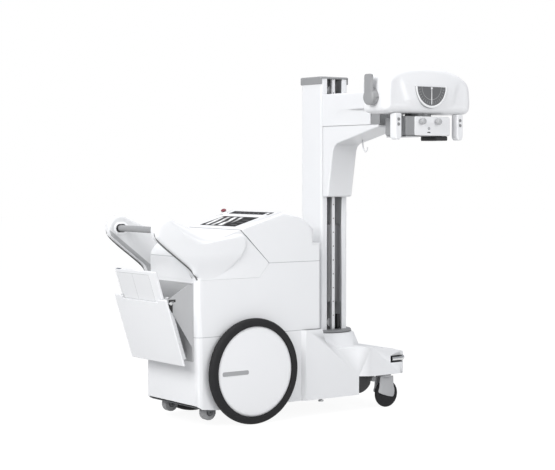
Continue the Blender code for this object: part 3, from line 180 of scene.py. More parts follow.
def sweep(name, path, radius, reference, body, finish, replaces=(), sides=24):
    """A round section carried along a path: the section's plane is square to the path's tangent,
    and reference gives the direction that never lies along it."""
    path = place(path)
    tangent = np.gradient(path, axis=0)
    tangent /= np.linalg.norm(tangent, axis=1)[:, None]
    side = np.cross(tangent, np.asarray(reference, float))
    side /= np.linalg.norm(side, axis=1)[:, None]
    up = np.cross(side, tangent)
    turn = np.linspace(0, 2 * np.pi, sides, endpoint=False)
    rings = path[:, None] + radius * (
        np.cos(turn)[None, :, None] * side[:, None] + np.sin(turn)[None, :, None] * up[:, None]
    )
    return closed_tube(name, rings, body, finish, replaces)


def smooth_line(points, per_part=8, closed=True):
    """Catmull-Rom: between two points the curve is the cubic whose slopes follow their neighbours."""
    points = np.asarray(points, float)
    count = len(points)
    index = np.arange(count if closed else count - 1)
    if closed:
        p0, p1, p2, p3 = (points[(index + k) % count] for k in (-1, 0, 1, 2))
    else:
        p0, p1, p2, p3 = (points[np.clip(index + k, 0, count - 1)] for k in (-1, 0, 1, 2))
    t = np.linspace(0, 1, per_part, endpoint=False)[None, :, None]
    p0, p1, p2, p3 = (p[:, None] for p in (p0, p1, p2, p3))
    curve = 0.5 * (2 * p1 + (p2 - p0) * t + (2 * p0 - 5 * p1 + 4 * p2 - p3) * t**2
                   + (3 * p1 - p0 - 3 * p2 + p3) * t**3)
    curve = curve.reshape(-1, points.shape[1])
    return curve if closed else np.vstack([curve, points[-1:]])


def inset(outline, distance):
    """Moves each point of an outline inwards, square to the outline. Distance may vary by point."""
    slope = np.roll(outline, -1, 0) - np.roll(outline, 1, 0)
    slope /= np.linalg.norm(slope, axis=1)[:, None]
    x, y = outline.T
    area = np.sum(x * np.roll(y, -1) - np.roll(x, -1) * y)
    inward = np.stack([-slope[:, 1], slope[:, 0]], 1) * np.sign(area)
    return outline + inward * np.broadcast_to(distance, len(outline))[:, None]


def smooth_step(value, low, high):
    """0 below low, 1 above high, and 3t^2 - 2t^3 between."""
    t = np.clip((np.asarray(value, float) - low) / (high - low), 0, 1)
    return t * t * (3 - 2 * t)


def at_depth(outline, depth):
    """Points (x, depth, z) from an outline's (x, z) pairs."""
    return np.column_stack([outline[:, 0], np.broadcast_to(depth, len(outline)), outline[:, 1]])


def shrunk(edge, depth, shares):
    """Rings that shrink from an edge towards its middle; depth(x, z, share) places their points."""
    middle = edge.mean(0)
    rings = []
    for share in shares:
        ring = middle + (edge - middle) * share
        ring[:, 1] = depth(ring[:, 0], ring[:, 2], share)
        rings.append(ring)
    return rings


def pillow(name, outline, low, high, round_low, round_high, body, finish, replaces=(), face=None, steps=8):
    """A flat outline in X and Z given depth along Y. Near each side the outline is drawn in by a
    quarter circle: inset = r (1 - cos a), depth = r (1 - sin a). With a face, the low side goes on
    towards its middle, where face(x, z, share) gives the depth beyond low."""
    angle = np.linspace(0, np.pi / 2, steps)
    edge = 0.0 if face is None else face(outline[:, 0], outline[:, 1], 1.0)
    near = [at_depth(inset(outline, round_low * (1 - np.cos(a))), low + edge + round_low * (1 - np.sin(a)))
            for a in angle[::-1]]
    if face is not None:
        shares = np.linspace(0.03, 1, 22, endpoint=False)
        near = shrunk(near[0], lambda x, z, share: low + face(x, z, share), shares) + near
    far = [at_depth(inset(outline, round_high * (1 - np.cos(a))), high - round_high * (1 - np.sin(a)))
           for a in angle]
    return closed_tube(name, place(np.array(near + far)), body, finish, replaces)


# %% [markdown]
# ## Shader maths as Python
#
# A pattern on a surface is a formula of the point's place. The class below wraps a shader socket
# and lets `1 - mask` or `a * b + c` add the Math nodes for it, so a finish reads like the formula
# it is. Numbers alone are worked out in Python and never become nodes.


# %% A wrapper for shader values
MIX_A, MIX_B, MIX_RESULT = 6, 7, 2  # a Mix node's colour sockets; its other types share their names


class Value:
    """A number that changes over the surface."""

    def __init__(self, finish, socket):
        self.finish = finish
        self.socket = socket

    def math(self, operation, *others):
        inputs = dict(enumerate([self, *others]))
        return self.finish.add("ShaderNodeMath", {"operation": operation}, inputs).value()

    def __add__(self, other):
        return self.math("ADD", other)

    def __mul__(self, other):
        return self.math("MULTIPLY", other)

    def __sub__(self, other):
        return self.math("SUBTRACT", other)

    def __rsub__(self, other):
        return (self * -1) + other

    def __truediv__(self, other):
        return self.math("DIVIDE", other)

    def __abs__(self):
        return self.math("ABSOLUTE")

    def __pow__(self, other):
        return self.math("POWER", other)

    def sine(self):
        return self.math("SINE")

    def nearest(self, step, start=0.0):
        """Distance from the nearest of evenly spaced places."""
        turned = ((self - start) / step + 0.5).math("FRACT")
        return abs(turned - 0.5) * step

    def root(self):
        return self.math("SQRT")

    def least(self, other):
        return self.math("MINIMUM", other)

    def most(self, other):
        return self.math("MAXIMUM", other)

    def above(self, limit, soft=0.0004):
        return 1 - self.below(limit, soft)

    def below(self, limit, soft=0.0004):
        """1 where the value is under the limit, 0 above it, with a soft step between."""
        return ((limit + soft) - self).math("DIVIDE", 2 * soft).math("MAXIMUM", 0).math("MINIMUM", 1)

    def between(self, low, high, soft=0.0004):
        return self.below(high, soft) * (1 - self.below(low, soft))


class Added:
    """A node just added, with its outputs as values or colours."""

    def __init__(self, finish, node):
        self.finish = finish
        self.node = node

    def value(self, output=0):
        return Value(self.finish, self.node.outputs[output])

    def colour(self, output=0):
        return self.node.outputs[output]


class Finish:
    """One material: its Principled shader and the nodes that feed it."""

    def __init__(self, name, colour, roughness, metallic=0.0):
        self.material = bpy.data.materials.new(name)
        self.material.use_nodes = True
        self.tree = self.material.node_tree
        self.shader = self.tree.nodes["Principled BSDF"]
        self.set("Base Color", (*colour, 1))
        self.set("Roughness", roughness)
        self.set("Metallic", metallic)

    def add(self, kind, settings, inputs):
        node = self.tree.nodes.new(kind)
        for key, setting in settings.items():
            setattr(node, key, setting)
        for key, given in inputs.items():
            self.feed(node.inputs[key], given)
        return Added(self, node)

    def feed(self, socket, given):
        if isinstance(given, Value):
            given = given.socket
        if isinstance(given, bpy.types.NodeSocket):
            self.tree.links.new(given, socket)
        else:
            socket.default_value = given

    def set(self, socket, given):
        self.feed(self.shader.inputs[socket], given)

    def place(self):
        """The point's X, Y and Z in drawing coordinates."""
        spot = self.add("ShaderNodeTexCoord", {}, {}).colour("Object")
        parts = self.add("ShaderNodeSeparateXYZ", {}, {0: spot})
        return [parts.value(k) + float(SHIFT[k]) for k in range(3)]

    def noise(self, scale, detail=3.0, stretch=(1, 1, 1)):
        spot = self.add("ShaderNodeTexCoord", {}, {}).colour("Object")
        spot = self.add("ShaderNodeMapping", {}, {"Vector": spot, "Scale": stretch}).colour()
        return self.add("ShaderNodeTexNoise", {}, {"Vector": spot, "Scale": scale, "Detail": detail}).value()

    def mix(self, factor, first, second):
        """The first colour where the factor is 0, the second where it is 1."""
        inputs = {"Factor": factor, MIX_A: self.rgba(first), MIX_B: self.rgba(second)}
        return self.add("ShaderNodeMix", {"data_type": "RGBA"}, inputs).colour(MIX_RESULT)

    @staticmethod
    def rgba(colour):
        return (*colour, 1) if isinstance(colour, tuple) and len(colour) == 3 else colour

    def bump(self, height, distance, strength=1.0):
        node = self.add("ShaderNodeBump", {}, {"Height": height, "Distance": distance, "Strength": strength})
        self.set("Normal", node.colour())


# %% [markdown]
# ## The moulded covers
#
# Large covers are moulded in white plastic with a satin face. Three things keep it from looking
# like paper: a faint cloudiness in the colour, a roughness that wanders a little, and the fine
# pebble of the mould in the normals. Where two covers meet, a thin dark line marks the joint.

# %% White covers
WHITE = (0.815, 0.820, 0.828)
SEAM_GREY = (0.38, 0.39, 0.40)
# Near black for the painted shade on the cover behind the bumper tube.
BUMPER_SHADE_BLACK = (0.045, 0.046, 0.048)
SEAM_HALF, SEAM_SOFT = 0.0013, 0.0006
BASE_SEAM_Z, CONSOLE_SEAM_Z, WALL_SEAM_Z = 0.455, 0.812, 0.850
SEAM_FRONT, BUMPER_SHADE_BACK, BUMPER_SHADE_HALF = 0.46, 0.8885, 0.0190


def satin(name, colour, roughness, pebble=0.00012):
    """A moulded plastic: cloudy colour, wandering roughness, fine pebble."""
    finish = Finish(name, colour, roughness)
    cloud = finish.noise(3.2, 4)
    low = tuple(c * 0.965 for c in colour)
    finish.cloud = finish.mix(cloud, low, colour)
    finish.set("Base Color", finish.cloud)
    finish.set("Roughness", finish.noise(9.0, 3) * 0.14 + (roughness - 0.07))
    finish.bump(finish.noise(900.0, 2), pebble, 0.35)
    return finish


def near_line(x, z, start, end):
    """Distance from the line through two points, measured in the side view."""
    (x0, z0), (x1, z1) = start, end
    length = math.hypot(x1 - x0, z1 - z0)
    return abs((x - x0) * ((z1 - z0) / length) - (z - z0) * ((x1 - x0) / length))


def seam_at(distance):
    """1 within a seam's half width of the line that the distance is measured from."""
    return distance.below(SEAM_HALF, SEAM_SOFT)


def cover_with_seams(name):
    """White plastic with the dark joints between base, cabinet, handle cover and console cover,
    and a near-black band of painted shade on the cover behind the bumper tube."""
    finish = satin(name, WHITE, 0.36)
    x, y, z = finish.place()
    base = seam_at(abs(z - BASE_SEAM_Z)) * x.between(-0.34, SEAM_FRONT, 0.002)
    console = seam_at(abs(z - CONSOLE_SEAM_Z)) * x.between(0.115, SEAM_FRONT, 0.002)
    slanted = seam_at(near_line(x, z, (-0.055, 0.985), (0.12, CONSOLE_SEAM_Z)))
    slanted = slanted * z.between(0.81, 0.958, 0.002)
    wall = seam_at(abs(z - WALL_SEAM_Z)) * x.below(-0.305) * abs(y).below(0.19)
    seam = base.most(console).most(slanted).most(wall)
    # Painted shade: a near-black band on the cover just behind the bumper tube.
    bumper_shade = z.between(BUMPER_Z - BUMPER_SHADE_HALF, BUMPER_Z + BUMPER_SHADE_HALF) * x.above(BUMPER_SHADE_BACK)
    painted = finish.mix(seam, finish.cloud, SEAM_GREY)
    finish.set("Base Color", finish.mix(bumper_shade, painted, BUMPER_SHADE_BLACK))
    return finish.material


def lobe_finish():
    """White plastic; the inner side is painted greyer as shade, with a dark band along the arm's underside.
    """
    finish = satin("lobe_white", WHITE, 0.34)
    x, y, z = finish.place()
    underside = near_line(x, z, (-0.345, 0.788), (-0.540, 0.938))
    band = underside.below(0.024, 0.002) * z.below(0.985, 0.01)
    # Painted shade: the arm's inner side is coloured grey.
    inner = abs(y).below(0.2005, 0.0010)
    inner_shaded = finish.mix(inner, finish.cloud, (0.66, 0.665, 0.67))
    finish.set("Base Color", finish.mix(inner * band, inner_shaded, (0.37, 0.375, 0.38)))
    return finish.material


cover_white = cover_with_seams("cover_white")
plain_white = satin("plain_white", WHITE, 0.34).material
shell_white = satin("shell_white", (0.835, 0.838, 0.845), 0.30).material
lobe_white = lobe_finish()
print("white finishes made")

# %% [markdown]
# ## Greys, rubber and metal
#
# The tyre is soft rubber with a little dust in its pores. Small mouldings are mid-grey plastic.
# The bumper tube is polished steel, brushed along its length, and the frame is powder coated.


# %% Greys, rubber and metal
ROLLER_X, ROLLER_Z = -0.215, 0.070


def rubber(name, colour):
    """Dull rubber with paler dust and a pitted surface."""
    finish = Finish(name, colour, 0.7)
    finish.set("Specular IOR Level", 0.3)
    dust = finish.noise(45.0, 5)
    pale = tuple(c * 1.8 + 0.006 for c in colour)
    finish.set("Base Color", finish.mix((dust - 0.45).most(0) * 1.4, colour, pale))
    finish.set("Roughness", dust * 0.2 + 0.6)
    finish.bump(finish.noise(420.0, 4), 0.0003, 0.6)
    return finish.material


def roller_finish():
    """Pale grey rubber round a dark hub."""
    finish = satin("roller_rubber", (0.34, 0.343, 0.348), 0.5)
    x, y, z = finish.place()
    dx, dz = x - ROLLER_X, z - ROLLER_Z
    hub = (dx * dx + dz * dz).root().below(0.019, 0.001)
    finish.set("Base Color", finish.mix(hub, finish.cloud, (0.07, 0.072, 0.075)))
    return finish.material


def metal_base(name, colour, roughness, metallic, stretch):
    """Brushed metal: a stretched grain in roughness, colour and normals."""
    finish = Finish(name, colour, roughness, metallic)
    grain = finish.noise(60.0, 5, stretch)
    finish.set("Roughness", grain * 0.18 + (roughness - 0.09))
    finish.set("Base Color", finish.mix(grain, tuple(c * 0.9 for c in colour), colour))
    finish.bump(grain, 0.00006, 0.5)
    return finish


def metal(name, colour, roughness, stretch):
    """Bare brushed metal."""
    return metal_base(name, colour, roughness, 1.0, stretch).material


mid_grey = satin("mid_grey", (0.25, 0.253, 0.258), 0.45).material
light_grey = satin("light_grey", (0.45, 0.453, 0.46), 0.42).material
slot_grey = satin("slot_grey", (0.36, 0.363, 0.37), 0.5).material
lever_grey = satin("lever_grey", (0.30, 0.303, 0.308), 0.5).material
dark_trim = satin("dark_trim", (0.125, 0.128, 0.13), 0.5).material
black_plastic = satin("black_plastic", (0.012, 0.012, 0.013), 0.46).material
tyre_rubber = rubber("tyre_rubber", (0.012, 0.012, 0.013))
roller_rubber = roller_finish()
polished_steel = metal("polished_steel", (0.66, 0.665, 0.67), 0.22, (1, 1, 12))
cast_metal = metal("cast_metal", (0.52, 0.525, 0.53), 0.45, (1, 1, 1))
frame_paint = satin("frame_paint", (0.16, 0.165, 0.17), 0.55).material
dull_lead = metal("dull_lead", (0.20, 0.205, 0.215), 0.6, (1, 1, 1))
stop_red = satin("stop_red", (0.20, 0.035, 0.05), 0.45).material
# Painted shade: this grey stands for the column's white interior in shade, seen through the slot beside the
# rail.
weight_shade_grey = satin("weight_shade_grey", (0.42, 0.423, 0.43), 0.5).material
equipment_blue = satin("equipment_blue", (0.07, 0.085, 0.12), 0.5).material
print(len(bpy.data.materials), "materials")

# %% [markdown]
# ## Screen, keys and dial
#
# The screen shows a made-up grey picture: soft bands that could be any radiograph, beside a black
# column of controls. The key strip is black glass with a row of small pale marks. Both are drawn
# by formulas of the point's place on the sloping panel, so they need no image file.

# %% Screen and key strip
LEAN = math.atan2(0.076, 0.266)
PANEL_X, PANEL_Z = -0.051, 0.994
KEY_BLACK = (0.006, 0.006, 0.007)
DIAL_GREY = (0.135, 0.137, 0.14)


def along_panel(x, z):
    """Distance up the sloping panel from its rear edge."""
    return (x - PANEL_X) * math.cos(LEAN) + (z - PANEL_Z) * math.sin(LEAN)


def screen_finish():
    """Pale diagonal streaks on black, with a black column of controls at the right-hand side."""
    finish = Finish("screen_picture", (0.01, 0.01, 0.012), 0.4)
    finish.set("Specular IOR Level", 0.06)
    x, y, z = finish.place()
    run = along_panel(x, z)
    bands = ((y * 96.0) + (finish.noise(6.0, 2) * 8.0) - run * 34.0).sine() * 0.5 + 0.5
    soft = finish.noise(22.0, 4) * 1.6 - 0.30
    tone = ((bands ** 2.0) * soft.most(0) * 2.2).least(1)
    edge = y.between(-0.052, 0.150, 0.010) * run.between(0.026, 0.160, 0.008)
    shade = tone * edge * 0.92 + 0.006
    grey = finish.add("ShaderNodeCombineColor", {}, {0: shade, 1: shade, 2: shade}).colour()
    buttons = y.between(-0.140, -0.085, 0.0006) * ((run * 170.0).sine() - 0.72).most(0).least(0.2) * 2.0
    buttons = buttons * run.between(0.03, 0.155, 0.001)
    finish.set("Base Color", finish.mix(buttons, grey, (0.30, 0.31, 0.32)))
    return finish.material


def key_finish():
    """Black glass with a row of pale marks and a pale switch to their right."""
    finish = Finish("key_strip_glass", KEY_BLACK, 0.35)
    finish.set("Specular IOR Level", 0.08)
    x, y, z = finish.place()
    run = along_panel(x, z)
    marks = ((y * 150.0).sine() - 0.86).most(0) * 5.0
    marks = marks.least(0.5) * run.between(0.232, 0.238, 0.0005) * y.between(-0.08, 0.10, 0.001)
    switch = y.between(-0.160, -0.136, 0.0006) * run.between(0.217, 0.252, 0.0006)
    finish.set("Base Color", finish.mix(marks.most(switch), KEY_BLACK, (0.75, 0.76, 0.77)))
    return finish.material


screen_picture = screen_finish()
key_strip_glass = key_finish()


# %% [markdown]
# The half-round scale on the head tells the operator how far the head is rolled. It is a dark
# plate with a thin pale arc and fine radial ticks every ten degrees. In polar form a tick is a
# place where the angle is close to a multiple of ten degrees.

# %% Angle scale
def from_dial(x, z):
    """Steps along X and Z from the scale's centre, and the distance they make."""
    dx, dz = x - COLUMN_X, z - DIAL_Z
    return dx, dz, (dx * dx + dz * dz).root()


def dial_finish():
    """Dark plate with a pale arc, and a tick wherever the cosine of 36 times the angle nears 1."""
    finish = Finish("dial_face", DIAL_GREY, 0.45)
    finish.set("Specular IOR Level", 0.3)
    x, y, z = finish.place()
    dx, dz, radius = from_dial(x, z)
    turn = dz.math("ARCTAN2", dx)
    arc = abs(radius - 0.064).below(0.0009, 0.0004)
    tick = ((turn * 36.0).math("COSINE") - 0.93).most(0).least(0.05) * 20.0
    tick = tick * radius.between(0.074, 0.088, 0.0005)
    finish.set("Base Color", finish.mix(arc.most(tick) * 0.6, DIAL_GREY, (0.62, 0.62, 0.62)))
    return finish.material


def rim_finish():
    """A white rim with a thin grey outline."""
    finish = satin("dial_rim_white", (0.86, 0.863, 0.868), 0.3)
    x, y, z = finish.place()
    outline = from_dial(x, z)[2].above(0.1047, 0.0003)
    finish.set("Base Color", finish.mix(outline, finish.cloud, (0.40, 0.403, 0.41)))
    return finish.material


dial_face = dial_finish()
dial_rim_white = rim_finish()
print("screen, keys and dial made")

# %% [markdown]
# ## Marks on single parts
#
# Some parts carry a mark of their own: painted shade for bolt holes along the rail, two outlined fields on
# the detector's back, a black lining of painted shade round the slot in each stay, and on the collimator's
# front a small slot under the lamp button.


# %% Rail, detector, stay and collimator finishes
RAIL_STEEL = (0.80, 0.803, 0.808)
FIELD_Y, FIELD_HALF, FIELD_LINE = 0.025, 0.153, 0.0015
FIELD_LOW, FIELD_HIGH = 0.300, 0.440


def rail_finish():
    """Ground steel with a dark dot every 75 mm: painted shade in a bolt hole."""
    finish = metal_base("rail_steel", RAIL_STEEL, 0.38, 0.25, (12, 12, 0.6))
    x, y, z = finish.place()
    dx, dz = x - COLUMN_X, z.nearest(0.075, 0.5)
    # Painted shade: a dark dot where each bolt hole is.
    hole_shade = (dx * dx + dz * dz).root().below(0.0036, 0.0006)
    finish.set("Base Color", finish.mix(hole_shade, RAIL_STEEL, (0.10, 0.10, 0.105)))
    return finish.material


def in_bin(x, z):
    """How far up the leaning bin a point lies."""
    return (x - HINGE_X) * (-math.sin(BIN_LEAN)) + (z - HINGE_Z) * math.cos(BIN_LEAN)


def detector_finish():
    """White, with two outlined grey fields side by side and a dark blue label above them."""
    finish = satin("detector_white", WHITE, 0.36)
    x, y, z = finish.place()
    up = in_bin(x, z)
    outside = abs(y - FIELD_Y)
    field = outside.below(FIELD_HALF, 0.0003) * up.between(FIELD_LOW, FIELD_HIGH, 0.0003)
    inner = outside.below(FIELD_HALF - FIELD_LINE, 0.0003)
    inner = inner * up.between(FIELD_LOW + FIELD_LINE, FIELD_HIGH - FIELD_LINE, 0.0003)
    inner = inner * abs(y - 0.031).above(0.0009, 0.0003)
    lines = field * (1 - inner)
    label = up.above(0.4555) * y.between(0.138, 0.182)
    painted = finish.mix(inner, finish.cloud, (0.74, 0.745, 0.752))
    painted = finish.mix(lines, painted, (0.33, 0.335, 0.34))
    finish.set("Base Color", finish.mix(label, painted, (0.07, 0.085, 0.12)))
    return finish.material


def stay_finish():
    """Bracket painted grey as shade on its side plate, and black round the slot that the bin's pin runs in as
    painted shade in the opening.
    """
    # Painted shade: the grey stands for the shade on the bracket's side plate.
    finish = satin("bracket_shade_grey", (0.46, 0.463, 0.468), 0.42)
    x, y, z = finish.place()
    # Painted shade: black round the slot and along its top, where the opening lies in shade.
    slot_shade = x.between(-0.4635, -0.4395, 0.0006) * z.between(0.585, 0.6425, 0.0006)
    top = x.between(-0.4635, -0.4230, 0.0006) * z.between(0.6370, 0.6500, 0.0006)
    finish.set("Base Color", finish.mix(slot_shade.most(top), finish.cloud, (0.010, 0.010, 0.011)))
    return finish.material


def panel_finish():
    """White, with the small black slot under the lamp button."""
    finish = satin("panel_white", (0.83, 0.833, 0.84), 0.3)
    x, y, z = finish.place()
    slot = abs(x - COLUMN_X).below(0.0095) * abs(z - (COLLIMATOR_LOW + 0.0175)).below(0.0028)
    finish.set("Base Color", finish.mix(slot, finish.cloud, (0.012, 0.012, 0.013)))
    return finish.material


def housing_finish():
    """Painted grey at the collimator's left, as the shade on its left side, and white at its right end."""
    # Painted shade: the grey stands for the shade on the housing's left side; the right end stays white.
    finish = satin("housing_shade_grey", (0.29, 0.293, 0.298), 0.42)
    x, y, z = finish.place()
    right = x.above(COLUMN_X + 0.100, 0.01)
    finish.set("Base Color", finish.mix(right, finish.cloud, (0.82, 0.823, 0.83)))
    return finish.material


rail_steel = rail_finish()
housing_shade_grey = housing_finish()
detector_white = detector_finish()
bracket_shade_grey = stay_finish()
panel_white = panel_finish()
print("marked finishes made")

# %% [markdown]
# ## Covers that keep their shape
#
# The model's own nodes are loose triangles. A copy of each is merged, so that smooth shading
# runs across its facets while real edges stay crisp. Normals are weighted by area, so that a
# large flat face stays flat up to its rounded border. The copy then stands for the node.


# %% Copies of the model's nodes
CRISP_ANGLE = math.radians(28)


def dress(node, finish):
    """A merged, smooth-shaded copy of a node; edges sharper than CRISP_ANGLE stay crisp."""
    source = frame["nodes"][node]
    piece = source.copy()
    piece.data = source.data.copy()
    piece.name = node + "_finished"
    piece.data.name = piece.name
    for key in list(piece.keys()):
        if key.startswith("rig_"):
            del piece[key]
    bpy.context.scene.collection.objects.link(piece)
    weld = piece.modifiers.new("merge", "WELD")
    weld.merge_threshold = 0.00002
    bpy.context.view_layer.update()
    graph = bpy.context.evaluated_depsgraph_get()
    mesh = bpy.data.meshes.new_from_object(piece.evaluated_get(graph))
    piece.modifiers.clear()
    piece.data = mesh
    mesh.materials.clear()
    mesh.materials.append(finish)
    mesh.shade_smooth()
    mesh.set_sharp_from_angle(angle=CRISP_ANGLE)
    flat = piece.modifiers.new("flat_faces", "WEIGHTED_NORMAL")
    flat.mode = "FACE_AREA"
    flat.weight = 100
    flat.keep_sharp = True
    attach(piece, body_of_node[node])
    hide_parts(node)
    return piece


FINISHES = {
    cover_white: ["base_cover", "cabinet_cover", "console_cover"],
    plain_white: ["detector_bin", "arm_bracket", "arm_cover", "column_profile"],
    shell_white: ["grip_left", "grip_right", "dial_needle"],
    # The bin bracket's grey is painted shade.
    bracket_shade_grey: ["bin_bracket"],
    detector_white: ["detector_panel"],
    lever_grey: ["column_cap", "lock_lever", "handle_bar"],
    mid_grey: ["turntable", "hv_generator", "control_unit", "grip_button_left_1", "grip_button_left_2",
               "grip_button_right_1", "grip_button_right_2"],
    # The counterweight's grey is painted shade.
    weight_shade_grey: ["counterweight"],
    # The collimator housing's grey at its left is painted shade.
    housing_shade_grey: ["collimator_housing"],
    light_grey: ["neck", "lamp_button", "pulley_low", "pulley_high"],
    rail_steel: ["guide_rail"],
    black_plastic: ["lift_belt", "laser_module"],
    cast_metal: ["carriage_block", "roll_housing", "drive_axle", "tube_insert"],
    screen_picture: ["screen_unit"],
    key_strip_glass: ["key_strip"],
    stop_red: ["stop_button"],
    frame_paint: ["base_frame"],
    equipment_blue: ["battery_pack"],
    dull_lead: ["shutter_x_a", "shutter_x_b", "shutter_y_a", "shutter_y_b"],
    roller_rubber: ["rear_roller_left", "rear_roller_right"],
}
for finish, nodes in FINISHES.items():
    for node in nodes:
        dress(node, finish)
print(sum(len(nodes) for nodes in FINISHES.values()), "nodes dressed")

# %% [markdown]
# ## Rear wheels
#
# Each wheel is a turned tyre round a slightly domed disc. The tyre's section is an open curve
# whose ends a straight inner wall joins, carried round the axle. The disc's face sinks a little at
# the rim, which gives the thin bright ring seen on the real wheel, and a grey insert lies in its
# hand slot.

# %% Wheels
WHEEL_R = 0.27
WHEEL_FACE = 0.30
SLOT_X, SLOT_LONG, SLOT_HIGH, SLOT_CORNER = -0.124, 0.079, 0.011, 0.0085


def rear_wheel(name, side):
    """Tyre, disc and slot insert. A section's points are (radius, height out of the face)."""
    centre, axis = (0, side * WHEEL_FACE, WHEEL_R), (0, side, 0)
    body = f"wheel_{name}"
    section = smooth_line([
        (0.2294, -0.0010), (0.243, -0.0006), (0.2575, -0.0021), (0.2655, -0.0080), (0.2686, -0.0165),
        (0.2686, -0.0285), (0.2655, -0.0370), (0.2575, -0.0429), (0.243, -0.0444), (0.2294, -0.0440),
    ], 5, closed=False)
    revolve(f"tyre_ring_{name}", section, centre, axis, body, tyre_rubber, [f"tyre_{name}"], 120,
            ring=True)
    face = smooth_line([(0.0005, -0.0030), (0.10, -0.0034), (0.19, -0.0044), (0.213, -0.0052),
                        (0.2225, -0.0078), (0.2285, -0.0120)], 8, closed=False)
    back = [(0.2288, -0.039), (0.06, -0.039), (0.05, -0.049), (0.018, -0.049), (0.018, -0.11),
            (0.0005, -0.11)]
    revolve(f"disc_{name}", np.vstack([face, back]), centre, axis, body, shell_white,
            [f"wheel_disc_{name}"], 120)
    turn = np.linspace(0, 2 * np.pi, 40, endpoint=False)
    slot = np.column_stack([
        SLOT_X + (SLOT_LONG - SLOT_CORNER) * np.sign(np.cos(turn)) + SLOT_CORNER * np.cos(turn),
        WHEEL_R + (SLOT_HIGH - SLOT_CORNER) * np.sign(np.sin(turn)) + SLOT_CORNER * np.sin(turn),
    ])
    near, far = sorted((side * (WHEEL_FACE - 0.0028), side * (WHEEL_FACE - 0.006)))
    closed_tube(f"slot_insert_{name}", place([at_depth(slot, y) for y in (near, far)]), body, slot_grey)


for name, side in (("right", -1), ("left", 1)):
    rear_wheel(name, side)
print("rear wheels turned")

# %% [markdown]
# ## Casters
#
# The front casters are black rubber wheels on wide, flat forks. The tread is gently crowned. Each
# fork is a cheek on both sides of the wheel, a round plate over it and the stem of its swivel.

# %% Caster wheels and forks
CASTER_X, CASTER_Y = 0.885, 0.250
HUB_X, HUB_Z = 0.899, 0.075
TREAD_HALF = 0.0155
CHEEK_OUT, CHEEK_HALF = 0.0210, 0.002
CHEEK = smooth_line(np.array([
    (0.838, 0.150), (0.836, 0.118), (0.829, 0.094), (0.836, 0.084), (0.880, 0.068), (0.922, 0.058),
    (0.934, 0.062), (0.940, 0.080), (0.940, 0.098), (0.934, 0.120), (0.933, 0.150), (0.932, 0.168),
    (0.928, 0.1715), (0.885, 0.1715), (0.848, 0.1715), (0.841, 0.166),
]), 4)


def caster(name, side):
    """Wheel, stem with its round plate, and the two cheeks."""
    y, half = side * CASTER_Y, TREAD_HALF
    tread = smooth_line([
        (0.0085, half), (0.030, half * 0.93), (0.050, half * 0.80), (0.062, half), (0.0705, half * 0.72),
        (0.0738, 0), (0.0705, -half * 0.72), (0.062, -half), (0.050, -half * 0.80), (0.030, -half * 0.93),
        (0.0085, -half),
    ], 5)
    revolve(f"caster_tyre_{name}", tread, (HUB_X, y, HUB_Z), (0, 1, 0), f"caster_{name}", tyre_rubber,
            [f"caster_wheel_{name}"], 72, ring=True)
    swivel = [(0.0005, 0.181), (0.034, 0.181), (0.0385, 0.178), (0.0385, 0.170), (0.0005, 0.170)]
    stem = [(0.0005, 0.2005), (0.0138, 0.2005), (0.0138, 0.182), (0.0005, 0.182)]
    revolve(f"fork_{name}", np.vstack([stem[:3], swivel[1:]]), (CASTER_X, y, 0), (0, 0, 1),
            f"fork_{name}", light_grey, [f"caster_fork_{name}"], 48)
    for label, shift in (("inner", -CHEEK_OUT), ("outer", CHEEK_OUT)):
        pillow(f"fork_cheek_{label}_{name}", CHEEK, y + shift - CHEEK_HALF, y + shift + CHEEK_HALF,
               0.0008, 0.0008, f"fork_{name}", light_grey, steps=3)


for name, side in (("right", -1), ("left", 1)):
    caster(name, side)
print("casters made")

# %% [markdown]
# Behind each caster the photograph shows a dark frame end with a round grey solenoid in front of
# it, and under the base one small foot on either side.

# %% Frame ends, solenoids and feet
FRAME_END = smooth_line(np.array([
    (0.7015, 0.1845), (0.7015, 0.140), (0.7015, 0.098), (0.722, 0.0965), (0.752, 0.110),
    (0.778, 0.136), (0.781, 0.165), (0.778, 0.1845), (0.740, 0.1848),
]), 4)
CAN = [(0.0005, 0.030), (0.0125, 0.030), (0.0148, 0.0275), (0.0148, -0.030), (0.0005, -0.030)]
FOOT = [(0.0005, 0.0858), (0.007, 0.0858), (0.007, 0.078), (0.013, 0.076), (0.0145, 0.072),
        (0.0135, 0.068), (0.0005, 0.068)]
for name, side in (("right", -1), ("left", 1)):
    low, high = sorted((side * 0.190, side * 0.262))
    pillow(f"frame_end_{name}", FRAME_END, low, high, 0.002, 0.002, "chassis", black_plastic, steps=3)
    revolve(f"solenoid_{name}", CAN, (0.806, side * 0.231, 0.162), (0, side, 0), "chassis", mid_grey,
            steps=40)
    revolve(f"foot_{name}", FOOT, (0.465, side * 0.232, 0), (0, 0, 1), "chassis", cast_metal, steps=40)
print("small parts under the base made")

# %% [markdown]
# ## Handle arms
#
# Each handle arm is a full, soft lobe that swells out of the cabinet's side and ends in a round
# nose. A pillow does this well: the outline of the side view, drawn in along a quarter circle at
# both faces. The lobe's front edge is the curved crease that shows on the cabinet's side. A dark
# strip runs along its underside, and the push bar passes through a black oval, painted shade in the opening,
# with a raised ring.

# %% Handle cover
BAR_X, BAR_Z = -0.497, 0.990
NOSE_R = 0.0648
SIDE = 0.2446
ARM_IN = 0.1945
FOOT_Z = 0.7403


def rear_limit(y):
    """The cabinet's rear corners are quarter circles in plan, 30 mm in radius."""
    over = np.clip(np.abs(y) - 0.215, 0, 0.030)
    return -0.289 - np.sqrt(0.030**2 - over**2)


